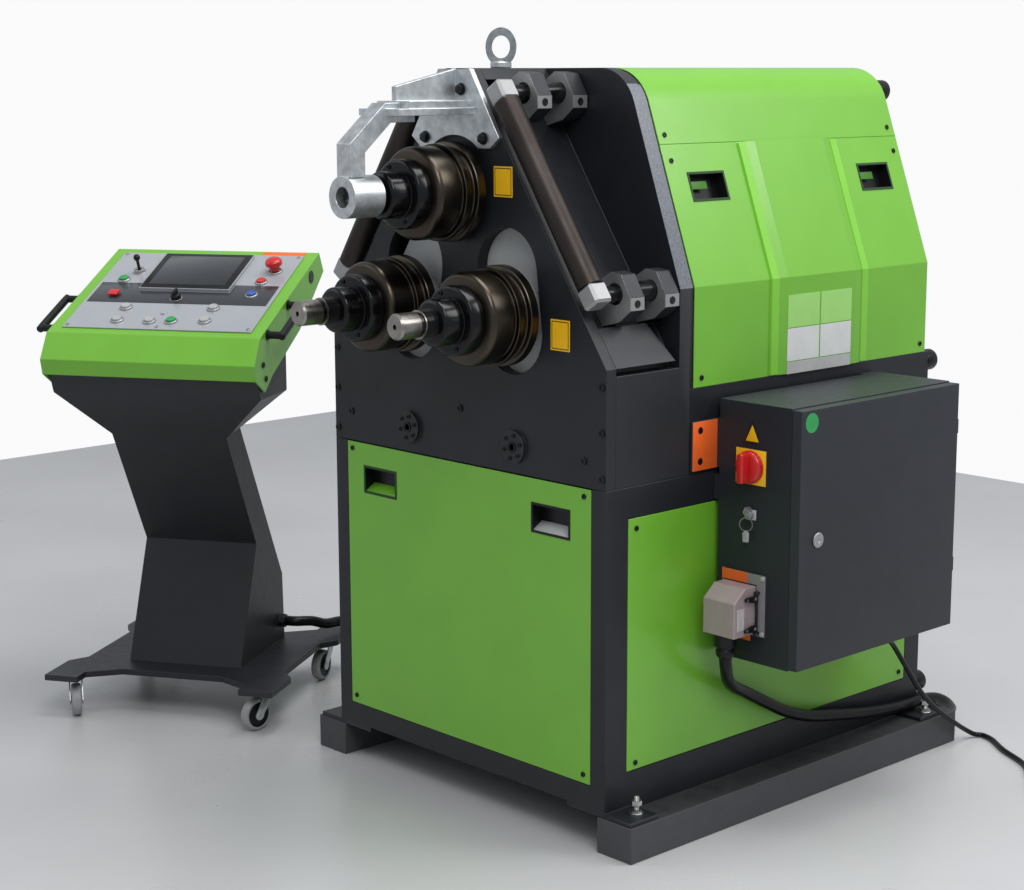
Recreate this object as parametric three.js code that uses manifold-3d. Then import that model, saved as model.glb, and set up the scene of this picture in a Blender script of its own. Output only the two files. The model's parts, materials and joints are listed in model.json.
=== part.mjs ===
// Three-roll section and tube bender with a free-standing operator console.
// Millimetres, +Z up. The machine's front plate faces -Y and its right side faces +X.
import * as THREE from 'three';
import { mergeVertices } from 'three/addons/utils/BufferGeometryUtils.js';
import { ConvexGeometry } from 'three/addons/geometries/ConvexGeometry.js';
import Module from 'manifold-3d';

const wasm = await Module();
wasm.setup();

// Clearances and mesh fineness
const gap = 0.3;
const over = 1;
const weld = 0.0005;
const bigSides = 24;
const roundSides = 16;
const smallSides = 8;
const tinySides = 6;
const arcSteps = 12;
const slotSteps = 20;
const ringSides = 36;

// Skids under the machine
const skid = { width: 91, height: 71, length: 1053, front: -3, centre: 435.5, wall: 6 };
const levelling = {
  studRadius: 6, studTop: 42, studDepth: 16, holeRadius: 7, nutRadius: 10, nutHeight: 8, nutLift: 18,
  washerRadius: 14, washerHeight: 3, frontY: 50, frontOut: 8, rearY: 968, rearOut: 20,
};

// Welded base
const base = {
  width: 812, depth: 1006, top: 712, post: 40, bottomRail: 57, topRail: 40, lip: 16, sheet: 4,
  reliefHalf: 304, reliefHeight: 10,
};
const footPlate = { reach: 69, depth: 80, thickness: 8 };
const rearFoot = { radius: 22, length: 34, fromEdge: 22, low: 124, middle: 858, top: 1440, topX: 236 };

// Removable covers of the base
const cover = { sheet: 3, seam: 1.2 };
const frontCover = { half: 366.5, bottom: 128, top: 709.5 };
const sideCover = { front: 62, rear: 953, bottom: 150, top: 650 };
const pull = { width: 102, height: 54, depth: 26, wall: 2, fromCentre: 258, lift: 633 };

// Front plate with its two inclined slots
const plate = { thickness: 26, shoulder: 940, top: 1490, topWidth: 72 };
const slot = { radius: 83, angle: 7.5 * Math.PI / 180, low: 33, high: 84 };
const pivot = { radius: 33, thickness: 8, x: 157.5, z: 765 };

// Rolls and their shafts, as distances in front of the front plate
const upperAxis = { x: 0, z: 1253 };
const lowerAxis = { x: 147, z: 1023 };
const shaft = {
  tip: 290, tipEnd: 236, tipRadius: 24.5, threadRadius: 27, nutFront: 205, nutBack: 159, nutRadius: 45,
  nutChamfer: 5, flangeRadius: 67, seatRadius: 30, journalRadius: 45, chamfer: 3, centreRadius: 5, centreDepth: 12,
  back: 236, supportedTip: 272, supportedRadius: 19.6,
};
const roll = {
  front: 127, back: 16, bodyRadius: 90, faceRadius: 84, bevel: 9, bodyBack: 72, narrowRadius: 84, narrowBack: 64,
  rimRadius: 94, rimBack: 52, grooveRadius: 88, flangeRadius: 97.5, flangeFront: 36,
};

// Upper frame: neck, arch plate, lower band and the drives
const neck = {
  back: 199, recess: 20, wall: 12, sideTop: 926, grooveDepth: 28, ledgeTop: 1012, ledgeRearTop: 156,
  ledgeRearLow: 189, capHeight: 22,
};
const arch = { thickness: 30, lip: 11, lipInset: 3, lipWidth: 22, kink: 1076, lean: 0.3566, cornerRadius: 96 };
const band = { top: 881, wall: 6 };
const carriage = {
  radius: 66, slotRadius: 71, shieldRadius: 92, shieldLow: 108, shieldHigh: 75, shield: 5, back: 300,
  gearRadius: 62, gearBack: 366, motorSize: 84, motorBack: 470, rodRadius: 25, rodEnd: 785,
};
const cylinder = { radius: 42, y: 113, bottom: 740, top: 885, floor: 15, beam: 46, beamLow: 728, beamTop: 762 };
const upperDrive = { tubeRadius: 70, gearRadius: 75, gearBack: 330, motorRadius: 50, motorBack: 460 };

// Guide frames that slide along Y beside the slopes of the front plate
const guide = {
  x: 366, z: 1074, rise: 368.5, block: 42, blockFront: -13, blockBack: 30, rodRadius: 25, rodY: 8.5,
  stubRadius: 16, stubBack: 60, shaftRadius: 20, shaftBack: 225,
};
const lug = { front: 62, frontBack: 100, rear: 157, rearBack: 196, clampRadius: 5, clampDepth: 16, clampDrop: 15 };
const lugShape = {
  nose: [40, -30], brow: [40, -4], crown: [16, 37], nape: [-11, 41], upperWaist: [-34, 27],
  upperFoot: [-71, -9], lowerFoot: [-34, -64], lowerWaist: [12, -52],
};

// Hood above the band
const hood = {
  flatEnd: 990, rear: 1007, chamfer: 17, seam: 1344, sheet: 3,
  rampFront: 464, plateauFront: 513, plateauRear: 732, rampRear: 777, raise: 6,
  pullFront: 350, pullRear: 882, pullLift: 1262,
};
const vents = { half: 190, height: 8, pitch: 26, count: 6, low: 930 };

// Lifting eye
const eye = { y: 113, ring: 30, wire: 8, centre: 1531, collarRadius: 21, collarHeight: 12, shank: 8, depth: 15 };
const eyeTurn = 11 * Math.PI / 180;

// Outboard support of the upper shaft, as distances in front of the front plate
const support = {
  plate: 12, topHalf: 46, topDrop: 1, shoulderHalf: 128, shoulder: 1359, footHalf: 102, foot: 1338, arc: 109,
  shelfHalf: 60, shelfLow: 1402, shelf: 13, shelfFront: 200, padHalf: 48, pad: 14, padFront: 165,
  rib: 12, ribTop: 1489, ribNose: 1456, ribFront: 163,
  arm: 36, armWidth: 40, armFront: 286, elbow: 1352, armTop: 1426, armTopFront: 200, armRoot: 128,
  armUnder: 1389, armUnderFront: 187, innerElbow: 1335, ringRadius: 40, ringBore: 20, ringFront: 291,
  ringBack: 217, ringSink: 3, boltRadius: 9, boltHead: 6, boltHigh: 1450, boltHighX: 22, boltLow: 1357, boltLowX: 85,
};

// Switch cabinet on the right side
const cabinet = {
  back: 418.5, front: 598.6, near: 304, far: 809, low: 343, top: 857, sheet: 3, rim: 18, pad: 50, railPadLow: 655,
};
const bracket = { near: 232, far: 330, low: 719, top: 816, thickness: 6, holeRadius: 7, holeInset: 18, holeY: 254 };
const door = { near: 300, far: 806, low: 348, top: 855, back: 602, front: 625, sheet: 3 };
const hinge = { x: 601, y: 816.5, radius: 7, pin: 3, length: 30, low: 430, high: 720, leaf: 24, sheet: 3 };
const lock = { y: 355, z: 600, radius: 12, head: 15, proud: 4, stem: 6, cam: 40, camWidth: 14, camThick: 3 };
const mainSwitch = {
  x: 503, z: 733, width: 75, height: 69, plate: 4, knobRadius: 32, knobDepth: 14, gripWidth: 15, gripDepth: 22,
  gripInset: 3, stem: 5, stemLength: 20,
};
const keySwitch = {
  x: 503, z: 639, width: 29, height: 20, plate: 3, radius: 9, length: 12, bow: 24, bowThick: 2.5, bowLength: 22,
  blade: 3, bladeDepth: 9,
};

// Plug connector on the near face of the cabinet
const plug = {
  x: 490, width: 110, low: 400, top: 523, flange: 4, coreHalf: 35, coreLow: 412, coreTop: 490, coreDepth: 10,
  hoodX: 482, hoodHalf: 40, hoodLow: 404, hoodTop: 500, hoodFront: 236, hoodEndTop: 474, hoodWall: 4,
  glandRadius: 18, glandLength: 22, glandBack: 22,
};
const lever = { low: 410, high: 484, sheet: 4, reach: 34, pin: 3, lugHeight: 6, lugWidth: 10, lugDepth: 9 };
const powerGland = { x: 505, y: 742, radius: 12, length: 20 };

// Hydraulic power pack inside the base
const pack = {
  left: -270, right: 130, near: 360, far: 660, tank: 220, motorX: -150, motorRadius: 80, motorHeight: 210,
  blockLeft: 0, blockRight: 110, blockHeight: 90, blockNear: 440, blockFar: 580,
};

// Cables
const controlCable = { radius: 12.5, sides: 8, step: 75 };
const powerCable = { radius: 5.5, sides: 8, step: 33 };
const floorGap = 0.5;
const coil = { x: 842, y: 950, turns: 2, reversal: 0.5, inner: 54, pitch: 11.7, climb: 11.7, lead: 12, tail: 110 };
const coilHeading = -0.88;
const controlCourse = [
  [478, 266, 330], [462, 290, 300], [444, 325, 276], [432, 380, 248], [430, 450, 210], [430, 514, 177],
  [430, 590, 150], [430, 678, 132], [430, 780, 114], [428, 873, 102], [425, 940, 96], [424, 1006, 94],
  [425, 1050, 87], [426, 1085, 72], [412, 1130, 45], [380, 1175, 24], [330, 1205, 16], [200, 1228, 13],
  [0, 1235, 13], [-200, 1220, 13], [-370, 1160, 13], [-540, 1050, 13], [-675, 890, 13], [-780, 640, 18],
  [-840, 545, 42], [-862, 500, 70], [-878, 450, 112], [-888, 412, 128], [-896, 375, 130], [-891, 332, 134],
  [-893, 290, 148],
];
const powerCourse = [
  [501, 758, 298], [495, 784, 282], [494, 834, 224], [494, 893, 154], [494, 949, 104], [495, 1020, 55],
  [494, 1075, 22], [500, 1100, 8], [512, 1112, 6], [540, 1105, 6], [600, 1062, 6], [685, 1013, 6], [728, 964, 6],
];
const coilSteps = 24;
const coilSides = 6;
const tailSteps = 8;
const mains = {
  radius: 28, body: 86, nose: 44, noseRadius: 25, tailRadius: 13, tail: 34, wall: 3, pocket: 38, pin: 3,
  pinRing: 12, pins: 5,
};

// Console: its width runs along its own X and its depth along its own Y
const consolePlace = { x: -927.5, y: -55 };
const consoleTurn = 32.2 * Math.PI / 180;
const desk = {
  half: 260, sheet: 4, frontY: -131, frontZ: 905, backY: 256, backZ: 1062,
  faceY: -168, faceZ: 847, lipY: -159, lipZ: 811, earY: -108, earZ: 780, heelY: -57, heelZ: 814,
  kneeY: 115, kneeZ: 893, tailY: 284, tailZ: 1016, holeHalf: 90, holeNear: -30, holeFar: 30,
};
const face = { half: 231, low: 22, high: 393, thickness: 3 };
const screen = { half: 113, low: 200, high: 376, height: 9 };
const handle = { low: 42, high: 182, reach: 36, bar: 7, drop: 14 };
const column = {
  half: 142, wall: 4, toeY: -13, kneeY: 103, kneeZ: 379, neckY: -60, neckZ: 662, rearTopY: 24, rearTopZ: 676,
  heelY: 266, heelZ: 267, rearY: 272, flareHalf: 254, flareY: -122, flareZ: 765, flareBackY: 40, headY: -146,
  headZ: 830, headBackZ: 880, throatHalf: 96, throatY: -46, throatBackY: 14, throatZ: 650,
  cableY: 248, cableZ: 152, glandRadius: 17, glandLength: 14,
};
const foot = {
  top: 105, thickness: 14, centreY: 109, waistHalf: 124, waistY: -86, legIn: 200, legNeckY: -130, legOut: 283,
  frontY: -173, legBackY: -52, sideHalf: 250, sideStartY: -11,
};
const caster = {
  x: 239, frontY: -106, rearY: 302, trail: 28, wheelRadius: 37.5, wheelWidth: 24, axleRadius: 4, tread: 4,
  crownRadius: 21, crown: 4, crownTop: 84, kingRadius: 5, kingPin: 6, bossRadius: 24, legSheet: 3, legWidth: 30,
  hubRadius: 12, side: 1,
};
const casterTurn = { front: -0.5, rear: -0.1 };
const button = { radius: 11, rise: 9, stem: 7, depth: 14, bezel: 15, bezelRise: 4, travel: 3, edge: 1.5 };
const stop = { radius: 20, cap: 16, neck: 13, rise: 18, travel: 5, edge: 4 };
const joystick = { ball: 8, stick: 3.5, length: 34, pivot: 4, boot: 12, bootBore: 7, bootRise: 8 };
const selector = { radius: 12, rise: 12, grip: 22, gripWidth: 7, gripRise: 10 };
const squareCap = { side: 24, rise: 8 };
const lamp = { x: -8, s: 95, radius: 7, rise: 4 };

// Places of the controls on the panel: across it, and up it from its front edge
const roundButtons = {
  green_button: [-174, 252], red_button: [172, 255], blue_button: [171, 191],
  panel_button_1: [-111, 117], panel_button_2: [-108, 57], panel_button_3: [-28, 56],
  panel_button_4: [24, 59], panel_button_5: [104, 64], panel_button_6: [103, 123],
};
const squarePlace = [-169, 180];
const selectorPlace = [-7, 167];
const stopPlace = [187, 310];
const joystickPlace = [-151, 293];

// Places worked out from the sizes
const half = base.width / 2;
const rebate = cover.sheet + gap;
const baseBottom = skid.height + gap;
const frameFront = plate.thickness + gap;
const frameBottom = base.top + gap;
const archBack = neck.back + arch.thickness;
const driveFront = frameFront + carriage.shield + gap * 2;
const hoodFront = archBack + arch.lip + gap;
const hoodLow = band.top + gap;
const slopeAngle = Math.atan2(half - plate.topWidth / 2, plate.top - plate.shoulder);
const slopeOut = [Math.cos(slopeAngle), Math.sin(slopeAngle)];
const slopeUp = [-Math.sin(slopeAngle), Math.cos(slopeAngle)];
const archAngle = Math.atan(arch.lean);
const archOut = [Math.cos(archAngle), Math.sin(archAngle)];
const archUp = [-Math.sin(archAngle), Math.cos(archAngle)];
const travel = [-Math.sin(slot.angle), Math.cos(slot.angle)];
const neckInward = (neck.recess + neck.wall) / slopeOut[0];
const neckInner = half - neck.grooveDepth - neck.wall;
const panelAngle = Math.atan2(desk.backZ - desk.frontZ, desk.backY - desk.frontY);
const panelTop = gap + face.thickness;
const guideLength = guide.rise / slopeUp[1];
const plugBack = cabinet.near - plug.flange - gap;
const leverAxis = {
  x: plug.hoodX + plug.hoodHalf + gap + lever.lugWidth / 2, y: cabinet.near - plug.flange - lever.sheet,
};
const xOnSlope = (z) => half - (z - plate.shoulder) * Math.tan(slopeAngle);
const xOnArch = (z) => half - (z - arch.kink) * arch.lean;

// Finishes
const paintGreen = { color: 0x71b32c, roughness: 0.5, metalness: 0 };
const paintDark = { color: 0x2b2f35, roughness: 0.55, metalness: 0.1 };
const paintGrey = { color: 0x9a9c9c, roughness: 0.55, metalness: 0.1 };
const plainSteel = { color: 0x8c8a86, roughness: 0.3, metalness: 1 };
const darkSteel = { color: 0x1b1d20, roughness: 0.35, metalness: 0.8 };
const rollSteel = { color: 0x4a443d, roughness: 0.3, metalness: 1 };
const zinc = { color: 0xb4b8ba, roughness: 0.35, metalness: 0.9 };
const cabinetPaint = { color: 0x2f3338, roughness: 0.5, metalness: 0.05 };
const blackPlastic = { color: 0x1a1a1b, roughness: 0.5, metalness: 0 };
const greyPlastic = { color: 0x8a857c, roughness: 0.5, metalness: 0 };
const redPlastic = { color: 0xc4161c, roughness: 0.4, metalness: 0 };
const greenPlastic = { color: 0x1f9d4d, roughness: 0.4, metalness: 0 };
const bluePlastic = { color: 0x2a57b0, roughness: 0.4, metalness: 0 };
const whitePlastic = { color: 0xdedede, roughness: 0.4, metalness: 0 };
const rubber = { color: 0x141414, roughness: 0.8, metalness: 0 };

// Turns a geometry into one closed mesh with shared corners and faces pointing out
function tidy(geometry) {
  const bare = geometry.clone();
  for (const name of Object.keys(bare.attributes)) {
    if (name !== 'position') bare.deleteAttribute(name);
  }
  const merged = mergeVertices(bare, weld);
  const from = merged.index.array;
  const index = [];
  for (let i = 0; i < from.length; i += 3) {
    const [a, b, c] = [from[i], from[i + 1], from[i + 2]];
    if (a !== b && b !== c && c !== a) index.push(a, b, c);
  }
  if (volumeOf(merged, index) < 0) index.reverse();
  merged.setIndex(index);
  return merged;
}

function volumeOf(geometry, index) {
  const at = geometry.attributes.position;
  const corner = [new THREE.Vector3(), new THREE.Vector3(), new THREE.Vector3()];
  let sum = 0;
  for (let i = 0; i < index.length; i += 3) {
    corner.forEach((v, k) => v.fromBufferAttribute(at, index[i + k]));
    sum += corner[0].dot(corner[1].cross(corner[2]));
  }
  return sum;
}

function toSolid(geometry) {
  const merged = tidy(geometry);
  return new wasm.Manifold(new wasm.Mesh({
    numProp: 3,
    vertProperties: Float32Array.from(merged.attributes.position.array),
    triVerts: Uint32Array.from(merged.index.array),
  }));
}

function toGeometry(solid) {
  const mesh = solid.getMesh();
  const geometry = new THREE.BufferGeometry();
  geometry.setAttribute('position', new THREE.BufferAttribute(Float32Array.from(mesh.vertProperties), 3));
  geometry.setIndex(Array.from(mesh.triVerts));
  return geometry;
}

function join(...geometries) {
  return toGeometry(geometries.map(toSolid).reduce((sum, next) => sum.add(next)));
}

function cut(geometry, ...tools) {
  return toGeometry(tools.map(toSolid).reduce((left, tool) => left.subtract(tool), toSolid(geometry)));
}

function common(a, b) {
  return toGeometry(toSolid(a).intersect(toSolid(b)));
}

function mirrorX(geometry) {
  return tidy(geometry.clone().scale(-1, 1, 1));
}

// Basic solids
function box(x0, x1, y0, y1, z0, z1) {
  return new THREE.BoxGeometry(x1 - x0, y1 - y0, z1 - z0)
    .translate((x0 + x1) / 2, (y0 + y1) / 2, (z0 + z1) / 2);
}

// Moves a solid built along local z so that it runs along the named axis through (a, b) of the other two
function alongAxis(geometry, axis, a, b) {
  const [x, y, z] = [new THREE.Vector3(1, 0, 0), new THREE.Vector3(0, 1, 0), new THREE.Vector3(0, 0, 1)];
  const turn = new THREE.Matrix4();
  if (axis === 'x') turn.makeBasis(y, z, x);
  if (axis === 'y') turn.makeBasis(x, z, y);
  const place = { x: [0, a, b], y: [a, 0, b], z: [a, b, 0] }[axis];
  return tidy(geometry.applyMatrix4(turn).translate(...place));
}

// Prism of an outline given in the two other coordinates
function prism(axis, outline, from, to, holes = []) {
  const shape = new THREE.Shape(outline.map(([a, b]) => new THREE.Vector2(a, b)));
  for (const hole of holes) shape.holes.push(new THREE.Path(hole.map(([a, b]) => new THREE.Vector2(a, b))));
  const body = new THREE.ExtrudeGeometry(shape, { depth: to - from, bevelEnabled: false }).translate(0, 0, from);
  return alongAxis(body, axis, 0, 0);
}

// Solid of revolution of a closed profile of [radius, place along the axis]
function turned(axis, profile, a, b, sides) {
  const points = profile.map(([r, t]) => new THREE.Vector2(r, t));
  return alongAxis(new THREE.LatheGeometry(points, sides).rotateX(Math.PI / 2), axis, a, b);
}

function rod(axis, a, b, radius, from, to, sides = roundSides) {
  return turned(axis, [[0, from], [radius, from], [radius, to], [0, to]], a, b, sides);
}

// Radius of a polygonal bore whose flats clear a round piece
function boreFor(radius, sides) {
  return (radius + gap) / Math.cos(Math.PI / sides);
}

function arc(a, b, radius, start, end, steps) {
  return Array.from({ length: steps + 1 }, (_, i) => {
    const angle = start + (end - start) * i / steps;
    return [a + radius * Math.cos(angle), b + radius * Math.sin(angle)];
  });
}

function circle(a, b, radius, sides) {
  return arc(a, b, radius, 0, 2 * Math.PI * (1 - 1 / sides), sides - 1);
}

// Outline of a round-ended slot that leans by an angle
function obround(radius, low, high, angle, x, z) {
  const end = (t) => [x - Math.sin(angle) * t, z + Math.cos(angle) * t];
  return [
    ...arc(...end(high), radius, angle, angle + Math.PI, slotSteps),
    ...arc(...end(-low), radius, angle + Math.PI, angle + 2 * Math.PI, slotSteps),
  ];
}

function flipOutline(outline) {
  return outline.map(([x, z]) => [-x, z]);
}

function mirroredOutline(rightSide) {
  return [...rightSide, ...flipOutline(rightSide).reverse()];
}

// Moves every edge of an outline inwards by the same distance
function shrunk(outline, distance) {
  const points = outline.map(([a, b]) => new THREE.Vector2(a, b));
  const inward = THREE.ShapeUtils.isClockWise(points) ? -distance : distance;
  const edges = points.map((p, i) => {
    const along = points[(i + 1) % points.length].clone().sub(p).normalize();
    return { start: p.clone().add(new THREE.Vector2(-along.y, along.x).multiplyScalar(inward)), along };
  });
  return edges.map((edge, i) => {
    const before = edges.at(i - 1);
    const t = edge.start.clone().sub(before.start).cross(edge.along) / before.along.cross(edge.along);
    return before.start.clone().addScaledVector(before.along, t).toArray();
  });
}

// Convex solid round a list of corners
function hull(corners) {
  return tidy(new ConvexGeometry(corners.map((corner) => new THREE.Vector3(...corner))));
}

// Closed skin over rings of equally many corners
function loft(rings) {
  const count = rings[0].length;
  const index = [];
  for (let i = 0; i + 1 < rings.length; i += 1) {
    for (let j = 0; j < count; j += 1) {
      const a = i * count + j;
      const b = i * count + (j + 1) % count;
      index.push(a, b, b + count, a, b + count, a + count);
    }
  }
  const last = (rings.length - 1) * count;
  for (const [a, b, c] of capOf(rings[0])) index.push(a, c, b);
  for (const [a, b, c] of capOf(rings.at(-1))) index.push(last + a, last + b, last + c);
  const geometry = new THREE.BufferGeometry();
  const corners = rings.flat().flatMap((v) => [v.x, v.y, v.z]);
  geometry.setAttribute('position', new THREE.Float32BufferAttribute(corners, 3));
  geometry.setIndex(index);
  return tidy(geometry);
}

function capOf(ring) {
  const normal = new THREE.Vector3();
  ring.forEach((v, i) => normal.add(v.clone().cross(ring[(i + 1) % ring.length])));
  normal.normalize();
  const u = ring[1].clone().sub(ring[0]).normalize();
  const v = normal.clone().cross(u);
  const flat = ring.map((p) => new THREE.Vector2(p.dot(u), p.dot(v)));
  return THREE.ShapeUtils.triangulateShape(flat, []).map(([a, b, c]) => {
    const turn = flat[b].clone().sub(flat[a]).cross(flat[c].clone().sub(flat[a]));
    return turn > 0 ? [a, b, c] : [a, c, b];
  });
}

// Adds a recessed hand pull to a sheet, in a frame whose x runs across it, y up it and z out of it
function withPull(sheet, frame) {
  const { depth, wall } = pull;
  const w = pull.width / 2;
  const h = pull.height / 2;
  const cup = box(-w - wall, w + wall, -h - wall, h + wall, -depth - wall, -cover.sheet / 2);
  const hollow = box(-w, w, -h, h, -depth, hood.raise + over);
  return cut(join(sheet, cup.applyMatrix4(frame)), hollow.applyMatrix4(frame));
}

function frameAt(across, up, out, origin) {
  return new THREE.Matrix4().makeBasis(...[across, up, out].map((v) => new THREE.Vector3(...v)))
    .setPosition(...origin);
}

// Adds a named piece to a group
function part(parent, name, geometry, finish, place = [0, 0, 0], turn = [0, 0, 0]) {
  const mesh = new THREE.Mesh(tidy(geometry), new THREE.MeshStandardMaterial(finish));
  mesh.name = name;
  mesh.position.set(...place);
  mesh.rotation.set(...turn);
  parent.add(mesh);
}

// Skid beams and base
function studPlaces() {
  return [
    [skid.centre + levelling.frontOut, levelling.frontY],
    [skid.centre + levelling.rearOut, levelling.rearY],
  ];
}

function skidBeam() {
  const { wall } = skid;
  const left = skid.centre - skid.width / 2;
  const right = skid.centre + skid.width / 2;
  const rear = skid.front + skid.length;
  const beam = box(left, right, skid.front, rear, 0, skid.height);
  const hollow = box(left + wall, right - wall, skid.front + wall, rear - wall, -over, skid.height - wall);
  const holes = studPlaces().map(([x, y]) => rod('z', x, y, levelling.holeRadius, 0, skid.height + over, smallSides));
  return cut(beam, hollow, ...holes);
}

function footPlates() {
  const { studRadius, studDepth, studTop, nutRadius, nutHeight, nutLift, washerRadius, washerHeight } = levelling;
  const top = baseBottom + footPlate.thickness;
  const plates = [0, base.depth - footPlate.depth].map((y) => box(half - over, half + footPlate.reach,
    y, y + footPlate.depth, baseBottom, top));
  const studs = studPlaces().flatMap(([x, y]) => [
    rod('z', x, y, studRadius, baseBottom - studDepth, baseBottom + studTop, tinySides),
    rod('z', x, y, washerRadius, top - over, top + washerHeight, smallSides),
    rod('z', x, y, nutRadius, top + nutLift, top + nutLift + nutHeight, coilSides),
  ]);
  return join(...plates, ...studs);
}

function bufferPair(x, z, from) {
  return [-1, 1].map((side) => rod('y', side * x, z, rearFoot.radius, from, from + rearFoot.length, smallSides));
}

function baseFrame() {
  const { post, sheet, lip, topRail, bottomRail, depth } = base;
  const { seam } = cover;
  const outer = box(-half, half, 0, depth, baseBottom, base.top);
  const inside = box(-half + post, half - post, post, depth - post, baseBottom + sheet, base.top + over);
  const rearThin = box(-half + post, half - post, depth - post - over, depth - sheet,
    skid.height + bottomRail, base.top - topRail);
  const front = box(-frontCover.half + lip, frontCover.half - lip, -over, post + over,
    frontCover.bottom + lip, base.top - topRail);
  const frontRebate = box(-frontCover.half - seam, frontCover.half + seam, -over, rebate,
    frontCover.bottom - seam, frontCover.top + seam);
  const sides = box(-half - over, half + over, sideCover.front + lip, sideCover.rear - lip,
    sideCover.bottom + lip, sideCover.top - lip);
  const sideRebates = [-1, 1].map((side) => box(side * half - rebate, side * half + rebate,
    sideCover.front - seam, sideCover.rear + seam, sideCover.bottom - seam, sideCover.top + seam));
  const relief = box(-base.reliefHalf, base.reliefHalf, -over, post + over, 0, skid.height + base.reliefHeight);
  const shell = cut(outer, inside, rearThin, front, frontRebate, sides, ...sideRebates, relief);
  const feet = footPlates();
  return join(shell, feet, mirrorX(feet), ...bufferPair(half - rearFoot.fromEdge, rearFoot.low, depth - over));
}

function frontCoverSheet() {
  const sheet = box(-frontCover.half, frontCover.half, 0, cover.sheet, frontCover.bottom, frontCover.top);
  return [-1, 1].reduce((panel, side) => withPull(panel,
    frameAt([1, 0, 0], [0, 0, 1], [0, -1, 0], [side * pull.fromCentre, 0, pull.lift])), sheet);
}

function sideCoverSheet() {
  return box(half - cover.sheet, half, sideCover.front, sideCover.rear, sideCover.bottom, sideCover.top);
}

// Front plate
function slotOutline(radius) {
  return obround(radius, slot.low, slot.high, slot.angle, lowerAxis.x, lowerAxis.z);
}

function frontPlate() {
  const outline = mirroredOutline([[half, frameBottom], [half, plate.shoulder], [plate.topWidth / 2, plate.top]]);
  const opening = slotOutline(slot.radius);
  const bore = circle(upperAxis.x, upperAxis.z, boreFor(shaft.journalRadius, bigSides), bigSides);
  const body = prism('y', outline, 0, plate.thickness, [opening, flipOutline(opening), bore]);
  const flanges = [-1, 1].map((side) => rod('y', side * pivot.x, pivot.z, pivot.radius, -pivot.thickness, over,
    ringSides));
  return join(body, ...flanges);
}

// Upper frame
function neckOutline() {
  const capLow = plate.top - neck.capHeight;
  const inward = neck.recess / slopeOut[0];
  const ledgeX = xOnSlope(neck.ledgeTop);
  return mirroredOutline([
    [half, frameBottom], [half, neck.sideTop], [half - neck.grooveDepth, neck.sideTop],
    [half - neck.grooveDepth, plate.shoulder], [half, plate.shoulder], [ledgeX, neck.ledgeTop],
    [ledgeX - neck.recess * slopeOut[0], neck.ledgeTop - neck.recess * slopeOut[1]],
    [xOnSlope(capLow) - inward, capLow], [xOnSlope(capLow), capLow], [plate.topWidth / 2, plate.top],
  ]);
}

function neckHollow() {
  const innerTop = plate.shoulder + (half - neckInward - neckInner) / Math.tan(slopeAngle);
  const roof = plate.top - neck.capHeight - neck.wall;
  return mirroredOutline([
    [neckInner, frameBottom - over], [neckInner, innerTop], [xOnSlope(roof) - neckInward, roof],
  ]);
}

function ledgeNotch() {
  const corners = [
    [plate.shoulder, neck.ledgeRearLow], [neck.ledgeTop, neck.ledgeRearTop],
    [neck.ledgeTop, neck.back], [plate.shoulder, neck.back],
  ];
  return hull(corners.flatMap(([z, y]) => [neck.recess, gap - neck.recess].map((out) => [
    xOnSlope(z) + out * slopeOut[0], y, z + out * slopeOut[1],
  ])));
}

function neckBody() {
  const walls = prism('y', neckOutline(), frameFront, neck.back + over);
  const hollow = prism('y', neckHollow(), frameFront - over, neck.back + over * 2);
  const eyeHole = rod('z', 0, eye.y, boreFor(eye.shank, smallSides), plate.top - eye.depth - over,
    plate.top + over, smallSides);
  const notch = ledgeNotch();
  return cut(walls, hollow, notch, mirrorX(notch), eyeHole);
}

function archOutline(inset, low) {
  return mirroredOutline([
    [half - inset, low], [half - inset, arch.kink - inset * Math.tan(archAngle / 2)], ...shoulder(inset),
  ]);
}

// Rounded corner between the lean of the arch and its top
function shoulder(inset) {
  const tangent = arch.cornerRadius / Math.tan((Math.PI / 2 + archAngle) / 2);
  return arc(xOnArch(plate.top) - tangent, plate.top - arch.cornerRadius, arch.cornerRadius - inset,
    archAngle, Math.PI / 2, arcSteps);
}

function lugPair([x, z]) {
  const outline = Object.values(lugShape).map(([a, b]) => [x + a, z + b]);
  const bore = circle(x, z, boreFor(guide.shaftRadius, roundSides), roundSides);
  const nose = x + lugShape.nose[0];
  return [[lug.front, lug.frontBack], [lug.rear, lug.rearBack]].map(([from, to]) => cut(
    prism('y', outline, from, to, [bore]),
    rod('x', (from + to) / 2, z - lug.clampDrop, lug.clampRadius, nose - lug.clampDepth, nose + over, tinySides),
  ));
}

function guideAxes() {
  return [0, guideLength].map((t) => [guide.x + slopeUp[0] * t, guide.z + slopeUp[1] * t]);
}

// Lift cylinders on their cross beam, each in line with a slot
function liftCylinders() {
  const low = (cylinder.bottom - lowerAxis.z) / travel[1];
  const top = (cylinder.top - lowerAxis.z) / travel[1];
  const reach = neckInner + over;
  const place = (geometry) => geometry.rotateY(-slot.angle).translate(lowerAxis.x, cylinder.y, lowerAxis.z);
  const barrel = place(rod('z', 0, 0, cylinder.radius, low, top));
  const bore = place(rod('z', 0, 0, boreFor(carriage.rodRadius, roundSides), low + cylinder.floor, top + over));
  const beam = box(-reach, reach, cylinder.y - cylinder.beam / 2, cylinder.y + cylinder.beam / 2,
    cylinder.beamLow, cylinder.beamTop);
  return cut(join(beam, barrel, mirrorX(barrel)), bore, mirrorX(bore));
}

function upperDriveBody() {
  return join(
    rod('y', upperAxis.x, upperAxis.z, upperDrive.tubeRadius, driveFront, archBack),
    rod('y', upperAxis.x, upperAxis.z, upperDrive.gearRadius, archBack - over, upperDrive.gearBack),
    rod('y', upperAxis.x, upperAxis.z, upperDrive.motorRadius, upperDrive.gearBack - over, upperDrive.motorBack),
  );
}

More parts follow.
